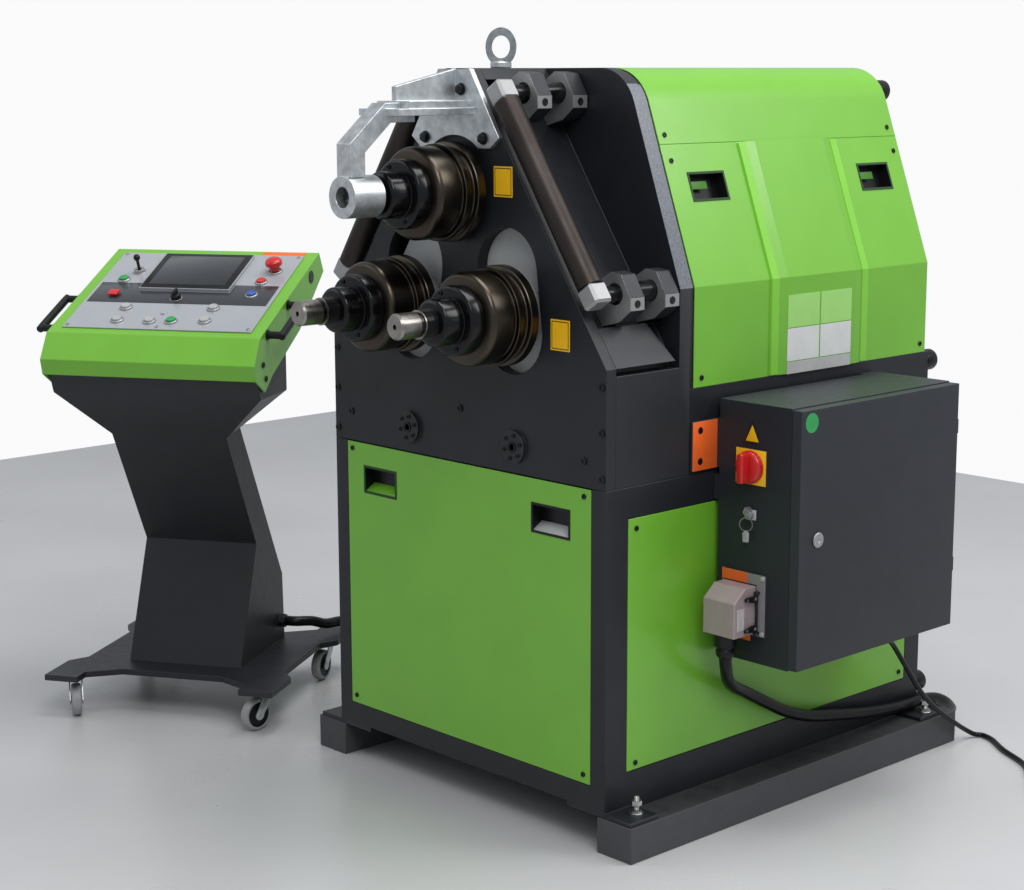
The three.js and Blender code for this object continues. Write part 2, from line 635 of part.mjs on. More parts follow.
function upperFrame() {
  const opening = slotOutline(carriage.slotRadius);
  const archPlate = prism('y', archOutline(0, frameBottom), neck.back, archBack, [opening, flipOutline(opening)]);
  const lip = prism('y', archOutline(arch.lipInset, frameBottom), archBack - over, archBack + arch.lip);
  const lipHole = prism('y', archOutline(arch.lipInset + arch.lipWidth, frameBottom - over),
    archBack - over * 2, archBack + arch.lip + over);
  const bandRing = cut(
    box(-half + gap, half - gap, archBack - over, base.depth, frameBottom + gap, band.top),
    box(-half + band.wall, half - band.wall, archBack - over * 2, base.depth - band.wall,
      frameBottom - over, band.top + over),
  );
  const lugs = guideAxes().flatMap(lugPair);
  const buffers = bufferPair(half - rearFoot.fromEdge, rearFoot.middle, base.depth - over);
  const whole = join(neckBody(), archPlate, cut(lip, lipHole), bandRing, ...lugs, ...lugs.map(mirrorX),
    upperDriveBody(), liftCylinders(), ...buffers);
  const shaftBore = rod('y', upperAxis.x, upperAxis.z, boreFor(shaft.journalRadius, bigSides),
    0, shaft.back + gap, bigSides);
  const guideBores = guideAxes().map(([x, z]) => rod('y', x, z, boreFor(guide.shaftRadius, roundSides),
    neck.back - over, archBack + arch.lip + over));
  return cut(whole, shaftBore, ...guideBores, ...guideBores.map(mirrorX));
}

// Ground that the shield plate may not enter when its carriage is at the top of its slot
function neckOutside() {
  const world = [base.top, plate.top].map((z) => [xOnSlope(z) - neckInward - gap, z]);
  const corners = [...world, [half * 2, plate.top], [half * 2, base.top]];
  return corners.map(([x, z]) => {
    const dx = x - lowerAxis.x - travel[0] * slot.high;
    const dz = z - lowerAxis.z - travel[1] * slot.high;
    return [dx * travel[1] - dz * travel[0], dz * travel[1] + dx * travel[0]];
  });
}

// Bearing carriage of a lower roll about its shaft's axis, with local z along its slot
function carriageBody() {
  const rodLow = (carriage.rodEnd - lowerAxis.z) / travel[1];
  const motor = carriage.motorSize / 2;
  const shieldBack = frameFront + carriage.shield;
  const shield = cut(
    prism('y', obround(carriage.shieldRadius, carriage.shieldLow, carriage.shieldHigh, 0, 0, 0), frameFront, shieldBack),
    prism('y', neckOutside(), frameFront - over, shieldBack + over),
  );
  const body = join(
    rod('y', 0, 0, carriage.radius, 0, carriage.back),
    shield,
    rod('y', 0, 0, carriage.gearRadius, carriage.back - over, carriage.gearBack),
    box(-motor, motor, carriage.gearBack - over, carriage.motorBack, -motor, motor),
    rod('z', 0, cylinder.y, carriage.rodRadius, rodLow, -shaft.journalRadius - over),
  );
  return cut(body, rod('y', 0, 0, boreFor(shaft.journalRadius, bigSides), -over, shaft.back + gap, bigSides));
}

// Shaft with its clamping flange and ring nut, about its own axis
function rollShaft(supported) {
  const { tipRadius, threadRadius, nutFront, nutRadius, nutChamfer, flangeRadius, seatRadius, chamfer } = shaft;
  const plainTip = [
    [0, -shaft.tip + shaft.centreDepth], [shaft.centreRadius, -shaft.tip + shaft.centreDepth],
    [shaft.centreRadius, -shaft.tip], [tipRadius - chamfer, -shaft.tip], [tipRadius, -shaft.tip + chamfer],
    [tipRadius, -shaft.tipEnd], [threadRadius, -shaft.tipEnd], [threadRadius, -nutFront],
  ];
  const supportedTip = [
    [0, -shaft.supportedTip], [shaft.supportedRadius, -shaft.supportedTip],
    [shaft.supportedRadius, -support.ringBack + gap], [threadRadius, -support.ringBack + gap],
    [threadRadius, -nutFront],
  ];
  const rest = [
    [nutRadius - nutChamfer, -nutFront], [nutRadius, -nutFront + nutChamfer], [nutRadius, -shaft.nutBack],
    [flangeRadius, -shaft.nutBack], [flangeRadius, -roll.front - gap], [seatRadius, -roll.front - gap],
    [seatRadius, -roll.back], [shaft.journalRadius, -roll.back], [shaft.journalRadius, shaft.back],
    [0, shaft.back],
  ];
  return turned('y', [...(supported ? supportedTip : plainTip), ...rest], 0, 0, bigSides);
}

function rollRing() {
  const bore = boreFor(shaft.seatRadius, bigSides);
  const profile = [
    [bore, -roll.front], [roll.faceRadius, -roll.front], [roll.bodyRadius, -roll.front + roll.bevel],
    [roll.bodyRadius, -roll.bodyBack], [roll.narrowRadius, -roll.bodyBack], [roll.narrowRadius, -roll.narrowBack],
    [roll.rimRadius, -roll.narrowBack], [roll.rimRadius, -roll.rimBack], [roll.grooveRadius, -roll.rimBack],
    [roll.grooveRadius, -roll.flangeFront], [roll.flangeRadius, -roll.flangeFront],
    [roll.flangeRadius, -roll.back - gap], [bore, -roll.back - gap], [bore, -roll.front],
  ];
  return turned('y', profile, 0, 0, bigSides);
}

// Guide frame about its lower shaft, with local z up the slope
function guideFrame() {
  const b = guide.block / 2;
  const ends = [0, guideLength].flatMap((t) => [
    box(-b, b, guide.blockFront, guide.blockBack, t - b, t + b),
    rod('y', 0, t, guide.stubRadius, guide.blockBack - over, guide.stubBack + over),
    rod('y', 0, t, guide.shaftRadius, guide.stubBack, guide.shaftBack),
  ]);
  return join(...ends, rod('z', 0, guide.rodY, guide.rodRadius, b - over, guideLength - b + over));
}

// Hood panels
function panelRing(y, outer) {
  const path = (out) => [
    [half + out, hoodLow],
    [half + out, arch.kink + out * Math.tan(archAngle / 2)],
    [xOnArch(hood.seam) + out * archOut[0], hood.seam + out * archOut[1]],
  ];
  return [...path(outer), ...path(outer - hood.sheet).reverse()].map(([x, z]) => new THREE.Vector3(x, y, z));
}

function upperPanel() {
  const stations = [
    [hoodFront, 0], [hood.rampFront, 0], [hood.plateauFront, hood.raise],
    [hood.plateauRear, hood.raise], [hood.rampRear, 0], [hood.flatEnd, 0],
  ];
  const skin = loft(stations.map(([y, out]) => panelRing(y, out)));
  return [hood.pullFront, hood.pullRear].reduce((panel, y) => withPull(panel, frameAt([0, 1, 0],
    [archUp[0], 0, archUp[1]], [archOut[0], 0, archOut[1]], [xOnArch(hood.pullLift), y, hood.pullLift])), skin);
}

function topCover() {
  const edge = (inset) => mirroredOutline([[
    xOnArch(hood.seam) + archUp[0] * gap - archOut[0] * inset,
    hood.seam + archUp[1] * gap - archOut[1] * inset,
  ], ...shoulder(inset)]);
  return prism('y', [...edge(0), ...edge(hood.sheet).reverse()], hoodFront, hood.flatEnd);
}

function rearCover() {
  const ring = (inset, y, low) => archOutline(inset, low).map(([x, z]) => new THREE.Vector3(x, y, z));
  const start = hood.flatEnd + gap;
  const back = hood.rear - hood.sheet;
  const shell = loft([ring(0, start, hoodLow), ring(hood.chamfer, hood.rear, hoodLow)]);
  const hollow = loft([
    ring(hood.sheet, start - over, hoodLow - over), ring(hood.sheet, start, hoodLow - over),
    ring(hood.chamfer, back, hoodLow - over),
  ]);
  const openings = Array.from({ length: vents.count }, (_, i) => vents.low + i * vents.pitch)
    .map((z) => box(-vents.half, vents.half, back - over, hood.rear + over, z, z + vents.height));
  const floor = box(-half + hood.chamfer, half - hood.chamfer, start, back + over, hoodLow, hoodLow + hood.sheet);
  return join(cut(shell, hollow, ...openings), floor, ...bufferPair(rearFoot.topX, rearFoot.top, back + over));
}

// Lifting eye about its own upright axis
function eyeBolt() {
  const low = plate.top + gap;
  const ring = new THREE.TorusGeometry(eye.ring, eye.wire, smallSides, roundSides).rotateX(Math.PI / 2)
    .translate(0, 0, eye.centre);
  return join(ring, rod('z', 0, 0, eye.collarRadius, low, low + eye.collarHeight),
    rod('z', 0, 0, eye.shank, plate.top - eye.depth, low + over, smallSides));
}

// Outboard support of the upper shaft
function supportBack() {
  const s = support;
  const start = Math.asin((s.foot - upperAxis.z) / s.arc);
  const steps = arcSteps;
  const notch = arc(upperAxis.x, upperAxis.z, s.arc, start, Math.PI / 2, steps);
  const rightSide = [[s.topHalf, plate.top - s.topDrop], [s.shoulderHalf, s.shoulder], [s.footHalf, s.foot]];
  const outline = [...rightSide, ...notch, ...flipOutline(notch.slice(0, -1)).reverse(),
    ...flipOutline(rightSide).reverse()];
  return prism('y', outline, -s.plate, -gap);
}

function supportArm() {
  const s = support;
  const ringTop = upperAxis.z + s.ringRadius - s.ringSink;
  const armBack = s.armFront - s.arm;
  return prism('x', [
    [-s.armFront, ringTop], [-s.armFront, s.elbow], [-s.armTopFront, s.armTop], [-s.armRoot, s.armTop],
    [-s.armRoot, s.armUnder], [-s.armUnderFront, s.armUnder], [-armBack, s.innerElbow], [-armBack, ringTop],
  ], -s.armWidth / 2, s.armWidth / 2);
}

function outboardSupport() {
  const s = support;
  const shelfTop = s.shelfLow + s.shelf;
  const shelf = box(-s.shelfHalf, s.shelfHalf, -s.shelfFront, -s.plate + over, s.shelfLow, shelfTop);
  const pad = box(-s.padHalf, s.padHalf, -s.padFront, -s.plate + over, shelfTop - over, shelfTop + s.pad);
  const rib = prism('x', [
    [-s.plate + over, s.shelfLow], [-s.plate + over, s.ribTop], [-s.ribFront, s.ribNose], [-s.ribFront, s.shelfLow],
  ], -s.rib / 2, s.rib / 2);
  const ring = turned('y', [
    [s.ringBore, -s.ringFront], [s.ringRadius, -s.ringFront], [s.ringRadius, -s.ringBack],
    [s.ringBore, -s.ringBack], [s.ringBore, -s.ringFront],
  ], upperAxis.x, upperAxis.z, ringSides);
  const bolts = [[s.boltHighX, s.boltHigh], [s.boltLowX, s.boltLow]].flatMap(([x, z]) => [-1, 1].map((side) => rod(
    'y', side * x, z, s.boltRadius, -s.plate - s.boltHead, -s.plate + over, tinySides)));
  return join(supportBack(), shelf, pad, rib, supportArm(), ring, ...bolts);
}

// Switch cabinet
function cabinetShell() {
  const c = cabinet;
  const shell = box(c.back, c.front, c.near, c.far, c.low, c.top);
  const hollow = box(c.back + c.sheet, c.front - c.sheet, c.near + c.sheet, c.far - c.sheet,
    c.low + c.sheet, c.top - c.sheet);
  const mouth = box(c.front - c.sheet * 2, c.front + over, c.near + c.rim, c.far - c.rim, c.low + c.rim, c.top - c.rim);
  const wallSide = half + gap;
  const pads = [[c.far - c.pad, c.top - c.pad], [c.near, c.railPadLow], [c.far - c.pad, c.railPadLow]]
    .map(([y, z]) => box(wallSide, c.back + over, y, y + c.pad, z, z + c.pad));
  const b = bracket;
  const ear = box(wallSide, wallSide + b.thickness, b.near, b.far, b.low, b.top);
  const block = box(wallSide, c.back + over, c.near, b.far, b.low, b.top);
  const holes = [b.low + b.holeInset, b.top - b.holeInset].map((z) => rod('x', b.holeY, z, b.holeRadius,
    half, wallSide + b.thickness + over, smallSides));
  return cut(join(cut(shell, hollow, mouth), ...pads, ear, block), ...holes);
}

function cabinetFittings() {
  const face0 = cabinet.near + over;
  const m = mainSwitch;
  const k = keySwitch;
  const p = plug;
  const g = powerGland;
  const lugs = [lever.low - gap - lever.lugHeight, lever.high + gap].map((z) => box(
    leverAxis.x - lever.lugWidth / 2, leverAxis.x + lever.lugWidth / 2,
    cabinet.near - p.flange - lever.lugDepth, face0, z, z + lever.lugHeight));
  const knuckles = [hinge.low, hinge.high].flatMap((z) => [
    rod('z', hinge.x, hinge.y, hinge.radius, z, z + hinge.length, smallSides),
    box(hinge.x - hinge.leaf, hinge.x, cabinet.far - over, cabinet.far + hinge.sheet, z, z + hinge.length),
  ]);
  return [
    box(m.x - m.width / 2, m.x + m.width / 2, cabinet.near - m.plate, face0, m.z - m.height / 2, m.z + m.height / 2),
    box(k.x - k.width / 2, k.x + k.width / 2, cabinet.near - k.plate, face0, k.z - k.height / 2, k.z + k.height / 2),
    rod('y', k.x, k.z, k.radius, cabinet.near - k.length, face0, smallSides),
    box(p.x - p.width / 2, p.x + p.width / 2, cabinet.near - p.flange, face0, p.low, p.top),
    box(p.hoodX - p.coreHalf, p.hoodX + p.coreHalf, cabinet.near - p.flange - p.coreDepth, face0,
      p.coreLow, p.coreTop),
    ...lugs,
    rod('z', g.x, g.y, g.radius, cabinet.low - g.length, cabinet.low + over, smallSides),
    ...knuckles,
  ];
}

function cabinetBody() {
  const m = mainSwitch;
  const k = keySwitch;
  const switchBore = rod('y', m.x, m.z, boreFor(m.stem, smallSides), cabinet.near - m.plate - over,
    cabinet.near + cabinet.sheet + over, smallSides);
  const keyHole = rod('y', k.x, k.z, boreFor(k.blade, tinySides), cabinet.near - k.length - over,
    cabinet.near - k.length + k.bladeDepth + gap, tinySides);
  const pinBores = [hinge.low, hinge.high].map((z) => rod('z', hinge.x, hinge.y, boreFor(hinge.pin, smallSides),
    z - over, z + hinge.length + over, smallSides));
  const leverBore = rod('z', leverAxis.x, leverAxis.y, boreFor(lever.pin, smallSides), plug.low, plug.top, smallSides);
  return cut(join(cabinetShell(), ...cabinetFittings()), switchBore, keyHole, ...pinBores, leverBore);
}

// Cabinet door about its hinge axis
function cabinetDoor() {
  const d = door;
  const tray = cut(
    box(d.back, d.front, d.near, d.far, d.low, d.top),
    box(d.back - over, d.front - d.sheet, d.near + d.sheet, d.far - d.sheet, d.low + d.sheet, d.top - d.sheet),
    rod('x', lock.y, lock.z, boreFor(lock.radius, smallSides), d.front - d.sheet - over, d.front + over, smallSides),
  );
  const knuckles = [hinge.low, hinge.high].flatMap((z) => {
    const low = z + hinge.length + gap;
    const top = low + hinge.length;
    return [
      rod('z', hinge.x, hinge.y, hinge.radius, low, top, smallSides),
      box(hinge.x + gap * 2, d.front - d.sheet, d.far - over, hinge.y - hinge.radius / 2, low, top),
      rod('z', hinge.x, hinge.y, hinge.pin, z + hinge.sheet, low + over, smallSides),
    ];
  });
  return join(tray, ...knuckles).translate(-hinge.x, -hinge.y, 0);
}

// Door lock about its own axis, as distances along X
function doorLock() {
  const camX = cabinet.front - cabinet.sheet - gap * 4 - lock.camThick;
  return join(
    rod('x', 0, 0, lock.head, door.front + gap, door.front + lock.proud, smallSides),
    rod('x', 0, 0, lock.radius, door.front - door.sheet * 2, door.front + gap * 2, smallSides),
    rod('x', 0, 0, lock.stem, camX, door.front - door.sheet, smallSides),
    box(camX, camX + lock.camThick, -lock.camWidth / 2, lock.camWidth / 2, -lock.cam, lock.camWidth / 2),
  );
}

// Main switch knob about its own axis
function switchKnob() {
  const m = mainSwitch;
  const back = cabinet.near - m.plate - gap;
  const reach = m.knobRadius - m.gripInset;
  return join(
    rod('y', 0, 0, m.knobRadius, back - m.knobDepth, back),
    box(-m.gripWidth / 2, m.gripWidth / 2, back - m.knobDepth - m.gripDepth, back - m.knobDepth + over,
      -reach, reach),
    rod('y', 0, 0, m.stem, back - over, back + m.stemLength, smallSides),
  );
}

function switchKey() {
  const k = keySwitch;
  const front = cabinet.near - k.length - gap;
  return join(
    rod('y', 0, 0, k.blade, front - over, front + k.bladeDepth, tinySides),
    box(-k.bowThick / 2, k.bowThick / 2, front - k.bowLength, front, -k.bow / 2, k.bow / 2),
  );
}

// Plug connector
function connectorHood() {
  const p = plug;
  const outline = [
    [plugBack, p.hoodLow], [p.hoodFront, p.hoodLow], [p.hoodFront, p.hoodEndTop],
    [(p.hoodFront + plugBack) / 2, p.hoodTop], [plugBack, p.hoodTop],
  ];
  const shell = prism('x', outline, p.hoodX - p.hoodHalf, p.hoodX + p.hoodHalf);
  const gland = rod('z', p.hoodX, p.hoodFront + p.glandBack, p.glandRadius, p.hoodLow - p.glandLength,
    p.hoodLow + over);
  const hollow = box(p.hoodX - p.hoodHalf + p.hoodWall, p.hoodX + p.hoodHalf - p.hoodWall,
    p.hoodFront + p.hoodWall, plugBack + over, p.hoodLow + p.hoodWall, p.hoodEndTop - p.hoodWall);
  const mouth = box(p.hoodX - p.coreHalf - gap, p.hoodX + p.coreHalf + gap,
    (p.hoodFront + plugBack) / 2, plugBack + over, p.hoodLow + p.hoodWall, p.hoodTop - p.hoodWall);
  return cut(join(shell, gland), hollow, mouth);
}

// Locking lever about its pin
function connectorLever() {
  const plateBody = box(-lever.sheet / 2, lever.sheet / 2, -lever.reach, lever.sheet / 2, lever.low, lever.high);
  const pinLow = lever.low - gap - lever.lugHeight;
  return join(plateBody, rod('z', 0, 0, lever.pin, pinLow, lever.high + gap + lever.lugHeight, smallSides));
}

// Hydraulic power pack on the floor of the base
function powerPack() {
  const floor = baseBottom + base.sheet + gap;
  const top = floor + pack.tank;
  return join(
    box(pack.left, pack.right, pack.near, pack.far, floor, top),
    rod('z', pack.motorX, (pack.near + pack.far) / 2, pack.motorRadius, top - over, top + pack.motorHeight),
    box(pack.blockLeft, pack.blockRight, pack.blockNear, pack.blockFar, top - over, top + pack.blockHeight),
  );
}

// Console desk
function deskOutline() {
  return [
    [desk.frontY, desk.frontZ], [desk.faceY, desk.faceZ], [desk.lipY, desk.lipZ], [desk.heelY, desk.heelZ],
    [desk.kneeY, desk.kneeZ], [desk.tailY, desk.tailZ], [desk.backY, desk.backZ],
  ];
}

function panelFrame() {
  return frameAt([1, 0, 0], [0, Math.cos(panelAngle), Math.sin(panelAngle)],
    [0, -Math.sin(panelAngle), Math.cos(panelAngle)], [0, desk.frontY, desk.frontZ]);
}

function deskHandle(side) {
  const out = side * (desk.half + handle.reach);
  const [from, to] = side > 0 ? [desk.half - over, out] : [out, -desk.half + over];
  return join(
    rod('x', handle.low, -handle.drop, handle.bar, from, to, smallSides),
    rod('x', handle.high, -handle.drop, handle.bar, from, to, smallSides),
    rod('y', out, -handle.drop, handle.bar, handle.low - handle.bar, handle.high + handle.bar, smallSides),
  ).applyMatrix4(panelFrame());
}

// Holes for the stems of the controls, in the panel's frame
function stemHoles(low, top) {
  const places = [...Object.values(roundButtons), squarePlace, selectorPlace, stopPlace];
  return places.map(([x, s]) => rod('z', x, s, boreFor(button.stem, smallSides), low, top, smallSides));
}

function consoleDesk() {
  const outline = deskOutline();
  const shell = prism('x', outline, -desk.half, desk.half);
  const hollow = prism('x', shrunk(outline, desk.sheet), -desk.half + desk.sheet, desk.half - desk.sheet);
  const ears = [-1, 1].map((side) => prism('x', [
    [desk.lipY, desk.lipZ], [desk.earY, desk.earZ], [desk.heelY, desk.heelZ + over],
  ], side > 0 ? desk.half - desk.sheet : -desk.half, side > 0 ? desk.half : -desk.half + desk.sheet));
  const cableHole = box(-desk.holeHalf, desk.holeHalf, desk.holeNear, desk.holeFar, desk.lipZ, desk.kneeZ);
  const stems = stemHoles(-desk.sheet * 2, over).map((hole) => hole.applyMatrix4(panelFrame()));
  return cut(join(shell, ...ears, deskHandle(-1), deskHandle(1)), hollow, cableHole, ...stems);
}

// Panel plate in its own frame: x across, y up the slope, z out of it
function consolePanel() {
  const sheet = box(-face.half, face.half, face.low, face.high, gap, panelTop);
  const display = box(-screen.half, screen.half, screen.low, screen.high, panelTop - over, panelTop + screen.height);
  const ringAt = ([x, s], radius, rise) => rod('z', x, s, radius, panelTop - over, panelTop + rise, smallSides);
  const bezels = Object.values(roundButtons).map((place) => ringAt(place, button.bezel, button.bezelRise));
  const wells = Object.values(roundButtons).map(([x, s]) => rod('z', x, s, boreFor(button.radius, smallSides),
    panelTop, panelTop + button.rise, smallSides));
  const boot = ringAt(joystickPlace, joystick.boot, joystick.bootRise);
  const bootBore = rod('z', ...joystickPlace, joystick.bootBore, panelTop, panelTop + joystick.bootRise + over, smallSides);
  const lampBody = ringAt([lamp.x, lamp.s], lamp.radius, lamp.rise);
  return cut(join(sheet, display, ...bezels, boot, lampBody), ...wells, bootBore,
    ...stemHoles(gap - over, panelTop + over));
}

// Controls about their own axes, measured up from the face of the panel
function plainButton() {
  const { radius, rise, stem, depth, edge } = button;
  const low = button.travel + gap;
  return turned('z', [
    [0, -depth], [stem, -depth], [stem, low], [radius, low], [radius, rise - edge], [radius - edge, rise], [0, rise],
  ], 0, 0, smallSides);
}

function squareButton() {
  const s = squareCap.side / 2;
  const low = button.travel + gap;
  return join(box(-s, s, -s, s, low, squareCap.rise), rod('z', 0, 0, button.stem, -button.depth, low + over, smallSides));
}

function stopButton() {
  const { radius, cap, neck: waist, rise, edge } = stop;
  const low = stop.travel + gap;
  return turned('z', [
    [0, -button.depth], [button.stem, -button.depth], [button.stem, low], [waist, low], [waist, rise], [radius, rise],
    [radius, rise + cap - edge], [radius - edge, rise + cap], [0, rise + cap],
  ], 0, 0, roundSides);
}

function selectorKnob() {
  const top = gap + selector.rise;
  return join(
    rod('z', 0, 0, selector.radius, gap, top, smallSides),
    box(-selector.gripWidth / 2, selector.gripWidth / 2, -selector.grip / 2, selector.grip / 2,
      top - over, top + selector.gripRise),
    rod('z', 0, 0, button.stem, -button.depth, gap + over, smallSides),
  );
}

// Joystick about its pivot
function joystickLever() {
  return join(
    new THREE.SphereGeometry(joystick.pivot, smallSides, tinySides),
    rod('z', 0, 0, joystick.stick, 0, joystick.length, tinySides),
    new THREE.SphereGeometry(joystick.ball, smallSides, tinySides).translate(0, 0, joystick.length),
  );
}

// Console stand
function footOutline() {
  const f = foot;
  const far = (y) => 2 * f.centreY - y;
  const front = [
    [f.waistHalf, f.waistY], [f.legIn, f.legNeckY], [f.legIn, f.frontY], [f.legOut, f.frontY],
    [f.legOut, f.legBackY], [f.sideHalf, f.sideStartY],
  ];
  return mirroredOutline([...front, ...front.map(([x, y]) => [x, far(y)]).reverse()]);
}

function casterPlaces() {
  return [
    ['front_left', -caster.x, caster.frontY, -casterTurn.front],
    ['front_right', caster.x, caster.frontY, casterTurn.front],
    ['rear_left', -caster.x, caster.rearY, -casterTurn.rear],
    ['rear_right', caster.x, caster.rearY, casterTurn.rear],
  ];
}

function flareCorners(neckHalf, neckY, neckZ, backY, backZ, inset) {
  const c = column;
  const wide = c.flareHalf - inset;
  return [
    [neckHalf, neckY, neckZ], [neckHalf, backY, backZ], [wide, c.flareY + inset, c.flareZ],
    [wide, c.flareBackY - inset, c.flareZ], [wide, c.headY + inset, c.headZ], [wide, c.flareBackY - inset, c.headBackZ],
  ].flatMap(([x, y, z]) => [[x, y, z], [-x, y, z]]);
}

function consoleStand() {
  const c = column;
  const outline = [
    [c.toeY, foot.top - over], [c.kneeY, c.kneeZ], [c.neckY, c.neckZ], [c.rearTopY, c.rearTopZ],
    [c.heelY, c.heelZ], [c.rearY, foot.top - over],
  ];
  const post = prism('x', outline, -c.half, c.half);
  const postHollow = prism('x', shrunk(outline, c.wall), -c.half + c.wall, c.half - c.wall);
  const flare = hull(flareCorners(c.half, c.neckY, c.neckZ, c.rearTopY, c.rearTopZ, 0));
  const flareHollow = hull(flareCorners(c.throatHalf, c.throatY, c.throatZ, c.throatBackY, c.throatZ, c.wall));
  const plateBody = prism('z', footOutline(), foot.top - foot.thickness, foot.top);
  const bosses = casterPlaces().map(([, x, y]) => rod('z', x, y, caster.bossRadius, caster.crownTop + gap,
    foot.top - foot.thickness + over, smallSides));
  const gland = rod('x', c.cableY, c.cableZ, c.glandRadius, c.half - c.wall, c.half + c.glandLength, smallSides);
  const kingBores = casterPlaces().map(([, x, y]) => rod('z', x, y, boreFor(caster.kingRadius, smallSides),
    caster.crownTop, caster.crownTop + caster.kingPin + gap, smallSides));
  const deskSpace = prism('x', shrunk(deskOutline(), -gap), -desk.half - over, desk.half + over);
  return cut(join(post, flare, plateBody, ...bosses, gland), postHollow, flareHollow, deskSpace, ...kingBores);
}

// Caster fork about its swivel, with its axle, and wheel about its axle
function casterFork() {
  const k = caster;
  const inner = k.wheelWidth / 2 + k.side;
  const outer = inner + k.legSheet;
  const legOutline = [
    [k.legWidth / 2, k.crownTop - gap], [-k.legWidth / 2, k.crownTop - gap],
    ...arc(-k.trail, k.wheelRadius, k.hubRadius, Math.PI, 2 * Math.PI, arcSteps / 3),
  ];
  return join(rod('z', 0, 0, k.crownRadius, k.crownTop - k.crown, k.crownTop),
    rod('z', 0, 0, k.kingRadius, k.crownTop - over, k.crownTop + k.kingPin, smallSides),
    prism('x', legOutline, inner, outer), prism('x', legOutline, -outer, -inner),
    rod('x', -k.trail, k.wheelRadius, k.axleRadius, -outer, outer, smallSides));
}

function casterWheel() {
  const { wheelRadius, tread } = caster;
  const w = caster.wheelWidth / 2;
  const bore = boreFor(caster.axleRadius, roundSides);
  return turned('x', [
    [bore, -w], [wheelRadius - tread, -w], [wheelRadius, -w + tread], [wheelRadius, w - tread],
    [wheelRadius - tread, w], [bore, w], [bore, -w],
  ], 0, 0, roundSides);
}

// Cables
function cableAlong(points, cable) {
  const route = new THREE.CatmullRomCurve3(points.map((p) => new THREE.Vector3(...p)));
  const section = new THREE.Shape(circle(0, 0, cable.radius, cable.sides).map(([a, b]) => new THREE.Vector2(a, b)));
  const steps = Math.round(route.getLength() / cable.step);
  return new THREE.ExtrudeGeometry(section, { steps, extrudePath: route, bevelEnabled: false });
}

function controlRoute() {
  const mouth = plug.hoodLow - plug.glandLength - gap;
  const out = [Math.cos(consoleTurn), Math.sin(consoleTurn)];
  const along = (u, v) => [
    consolePlace.x + u * out[0] - v * out[1], consolePlace.y + u * out[1] + v * out[0], column.cableZ,
  ];
  const end = column.half + column.glandLength + gap;
  const glandY = plug.hoodFront + plug.glandBack;
  return [
    [plug.hoodX, glandY, mouth], [plug.hoodX, glandY, mouth - controlCable.radius * 2],
    ...controlCourse, along(end + controlCable.radius * 2, column.cableY), along(end, column.cableY),
  ];
}

function coilCentres() {
  const start = coilHeading - Math.PI / 2;
  const middle = coil.turns + coil.reversal / 2;
  const count = Math.round(middle * 2 * coilSteps);
  return Array.from({ length: count + 1 }, (_, i) => {
    const t = i / coilSteps;
    const radius = coil.inner + coil.pitch * (Math.abs(t - middle) - coil.reversal / 2);
    const climb = THREE.MathUtils.smoothstep(t, coil.turns, coil.turns + coil.reversal);
    const angle = start + 2 * Math.PI * t;
    return new THREE.Vector3(coil.x + radius * Math.cos(angle), coil.y + radius * Math.sin(angle),
      powerCable.radius + floorGap + coil.climb * climb);
  });
}

function coilRoute() {
  const loops = coilCentres();
  const into = loops[1].clone().sub(loops[0]).setZ(0).normalize();
  const away = loops.at(-1).clone().sub(loops.at(-2)).setZ(0).normalize();
  const end = loops.at(-1);
  const rise = mains.radius + floorGap - end.z;
  const tail = Array.from({ length: tailSteps + 1 }, (_, i) => {
    const share = i / tailSteps;
    const point = end.clone().addScaledVector(away, coil.lead + share * coil.tail);
    return point.setZ(end.z + rise * THREE.MathUtils.smoothstep(share, 0, 1));
  });
  const last = tail.at(-1).clone().addScaledVector(away, coil.lead);
  return { loops, into, away, points: [loops[0].clone().addScaledVector(into, -coil.lead), ...loops, ...tail, last] };
}

function coilTube(points) {
  const rings = points.map((p, i) => {
    const along = points[Math.min(i + 1, points.length - 1)].clone().sub(points[Math.max(i - 1, 0)]).normalize();
    const aside = new THREE.Vector3(along.y, -along.x, 0).normalize();
    const up = aside.clone().cross(along);
    return circle(0, 0, powerCable.radius, coilSides)
      .map(([a, b]) => p.clone().addScaledVector(aside, a).addScaledVector(up, b));
  });
  return loft(rings);
}

function leastGap(loops) {
  const fine = loops.flatMap((p, i) => (i + 1 < loops.length ? [p, p.clone().lerp(loops[i + 1], 1 / 2)] : [p]));
  let least = Infinity;
  for (let i = 0; i < fine.length; i += 1) {
    for (let j = i + coilSteps; j < fine.length; j += 1) least = Math.min(least, fine[i].distanceTo(fine[j]));
  }
  return least - 2 * powerCable.radius;
}

function powerRoute(into, coilStart) {
  const mouth = cabinet.low - powerGland.length - gap;
  const straight = powerCable.radius * 2;
  const meet = coilStart.clone().addScaledVector(into, -gap);
  return [
    [powerGland.x, powerGland.y, mouth], [powerGland.x, powerGland.y, mouth - straight], ...powerCourse,
    meet.clone().addScaledVector(into, -straight).toArray(), meet.toArray(),
  ];
}

// Mains plug along local x, from its cable end
function mainsPlug() {
  const end = mains.tail + mains.body + mains.nose;
  const body = turned('x', [
    [0, gap], [mains.tailRadius, gap], [mains.tailRadius, mains.tail], [mains.radius, mains.tail],
    [mains.radius, mains.tail + mains.body], [mains.noseRadius, mains.tail + mains.body], [mains.noseRadius, end],
    [mains.noseRadius - mains.wall, end], [mains.noseRadius - mains.wall, end - mains.pocket], [0, end - mains.pocket],
  ], 0, 0, roundSides);
  const pins = circle(0, 0, mains.pinRing, mains.pins).map(([y, z]) => rod('x', y, z, mains.pin,
    end - mains.pocket - over, end - mains.wall, tinySides));
  return join(body, ...pins);
}

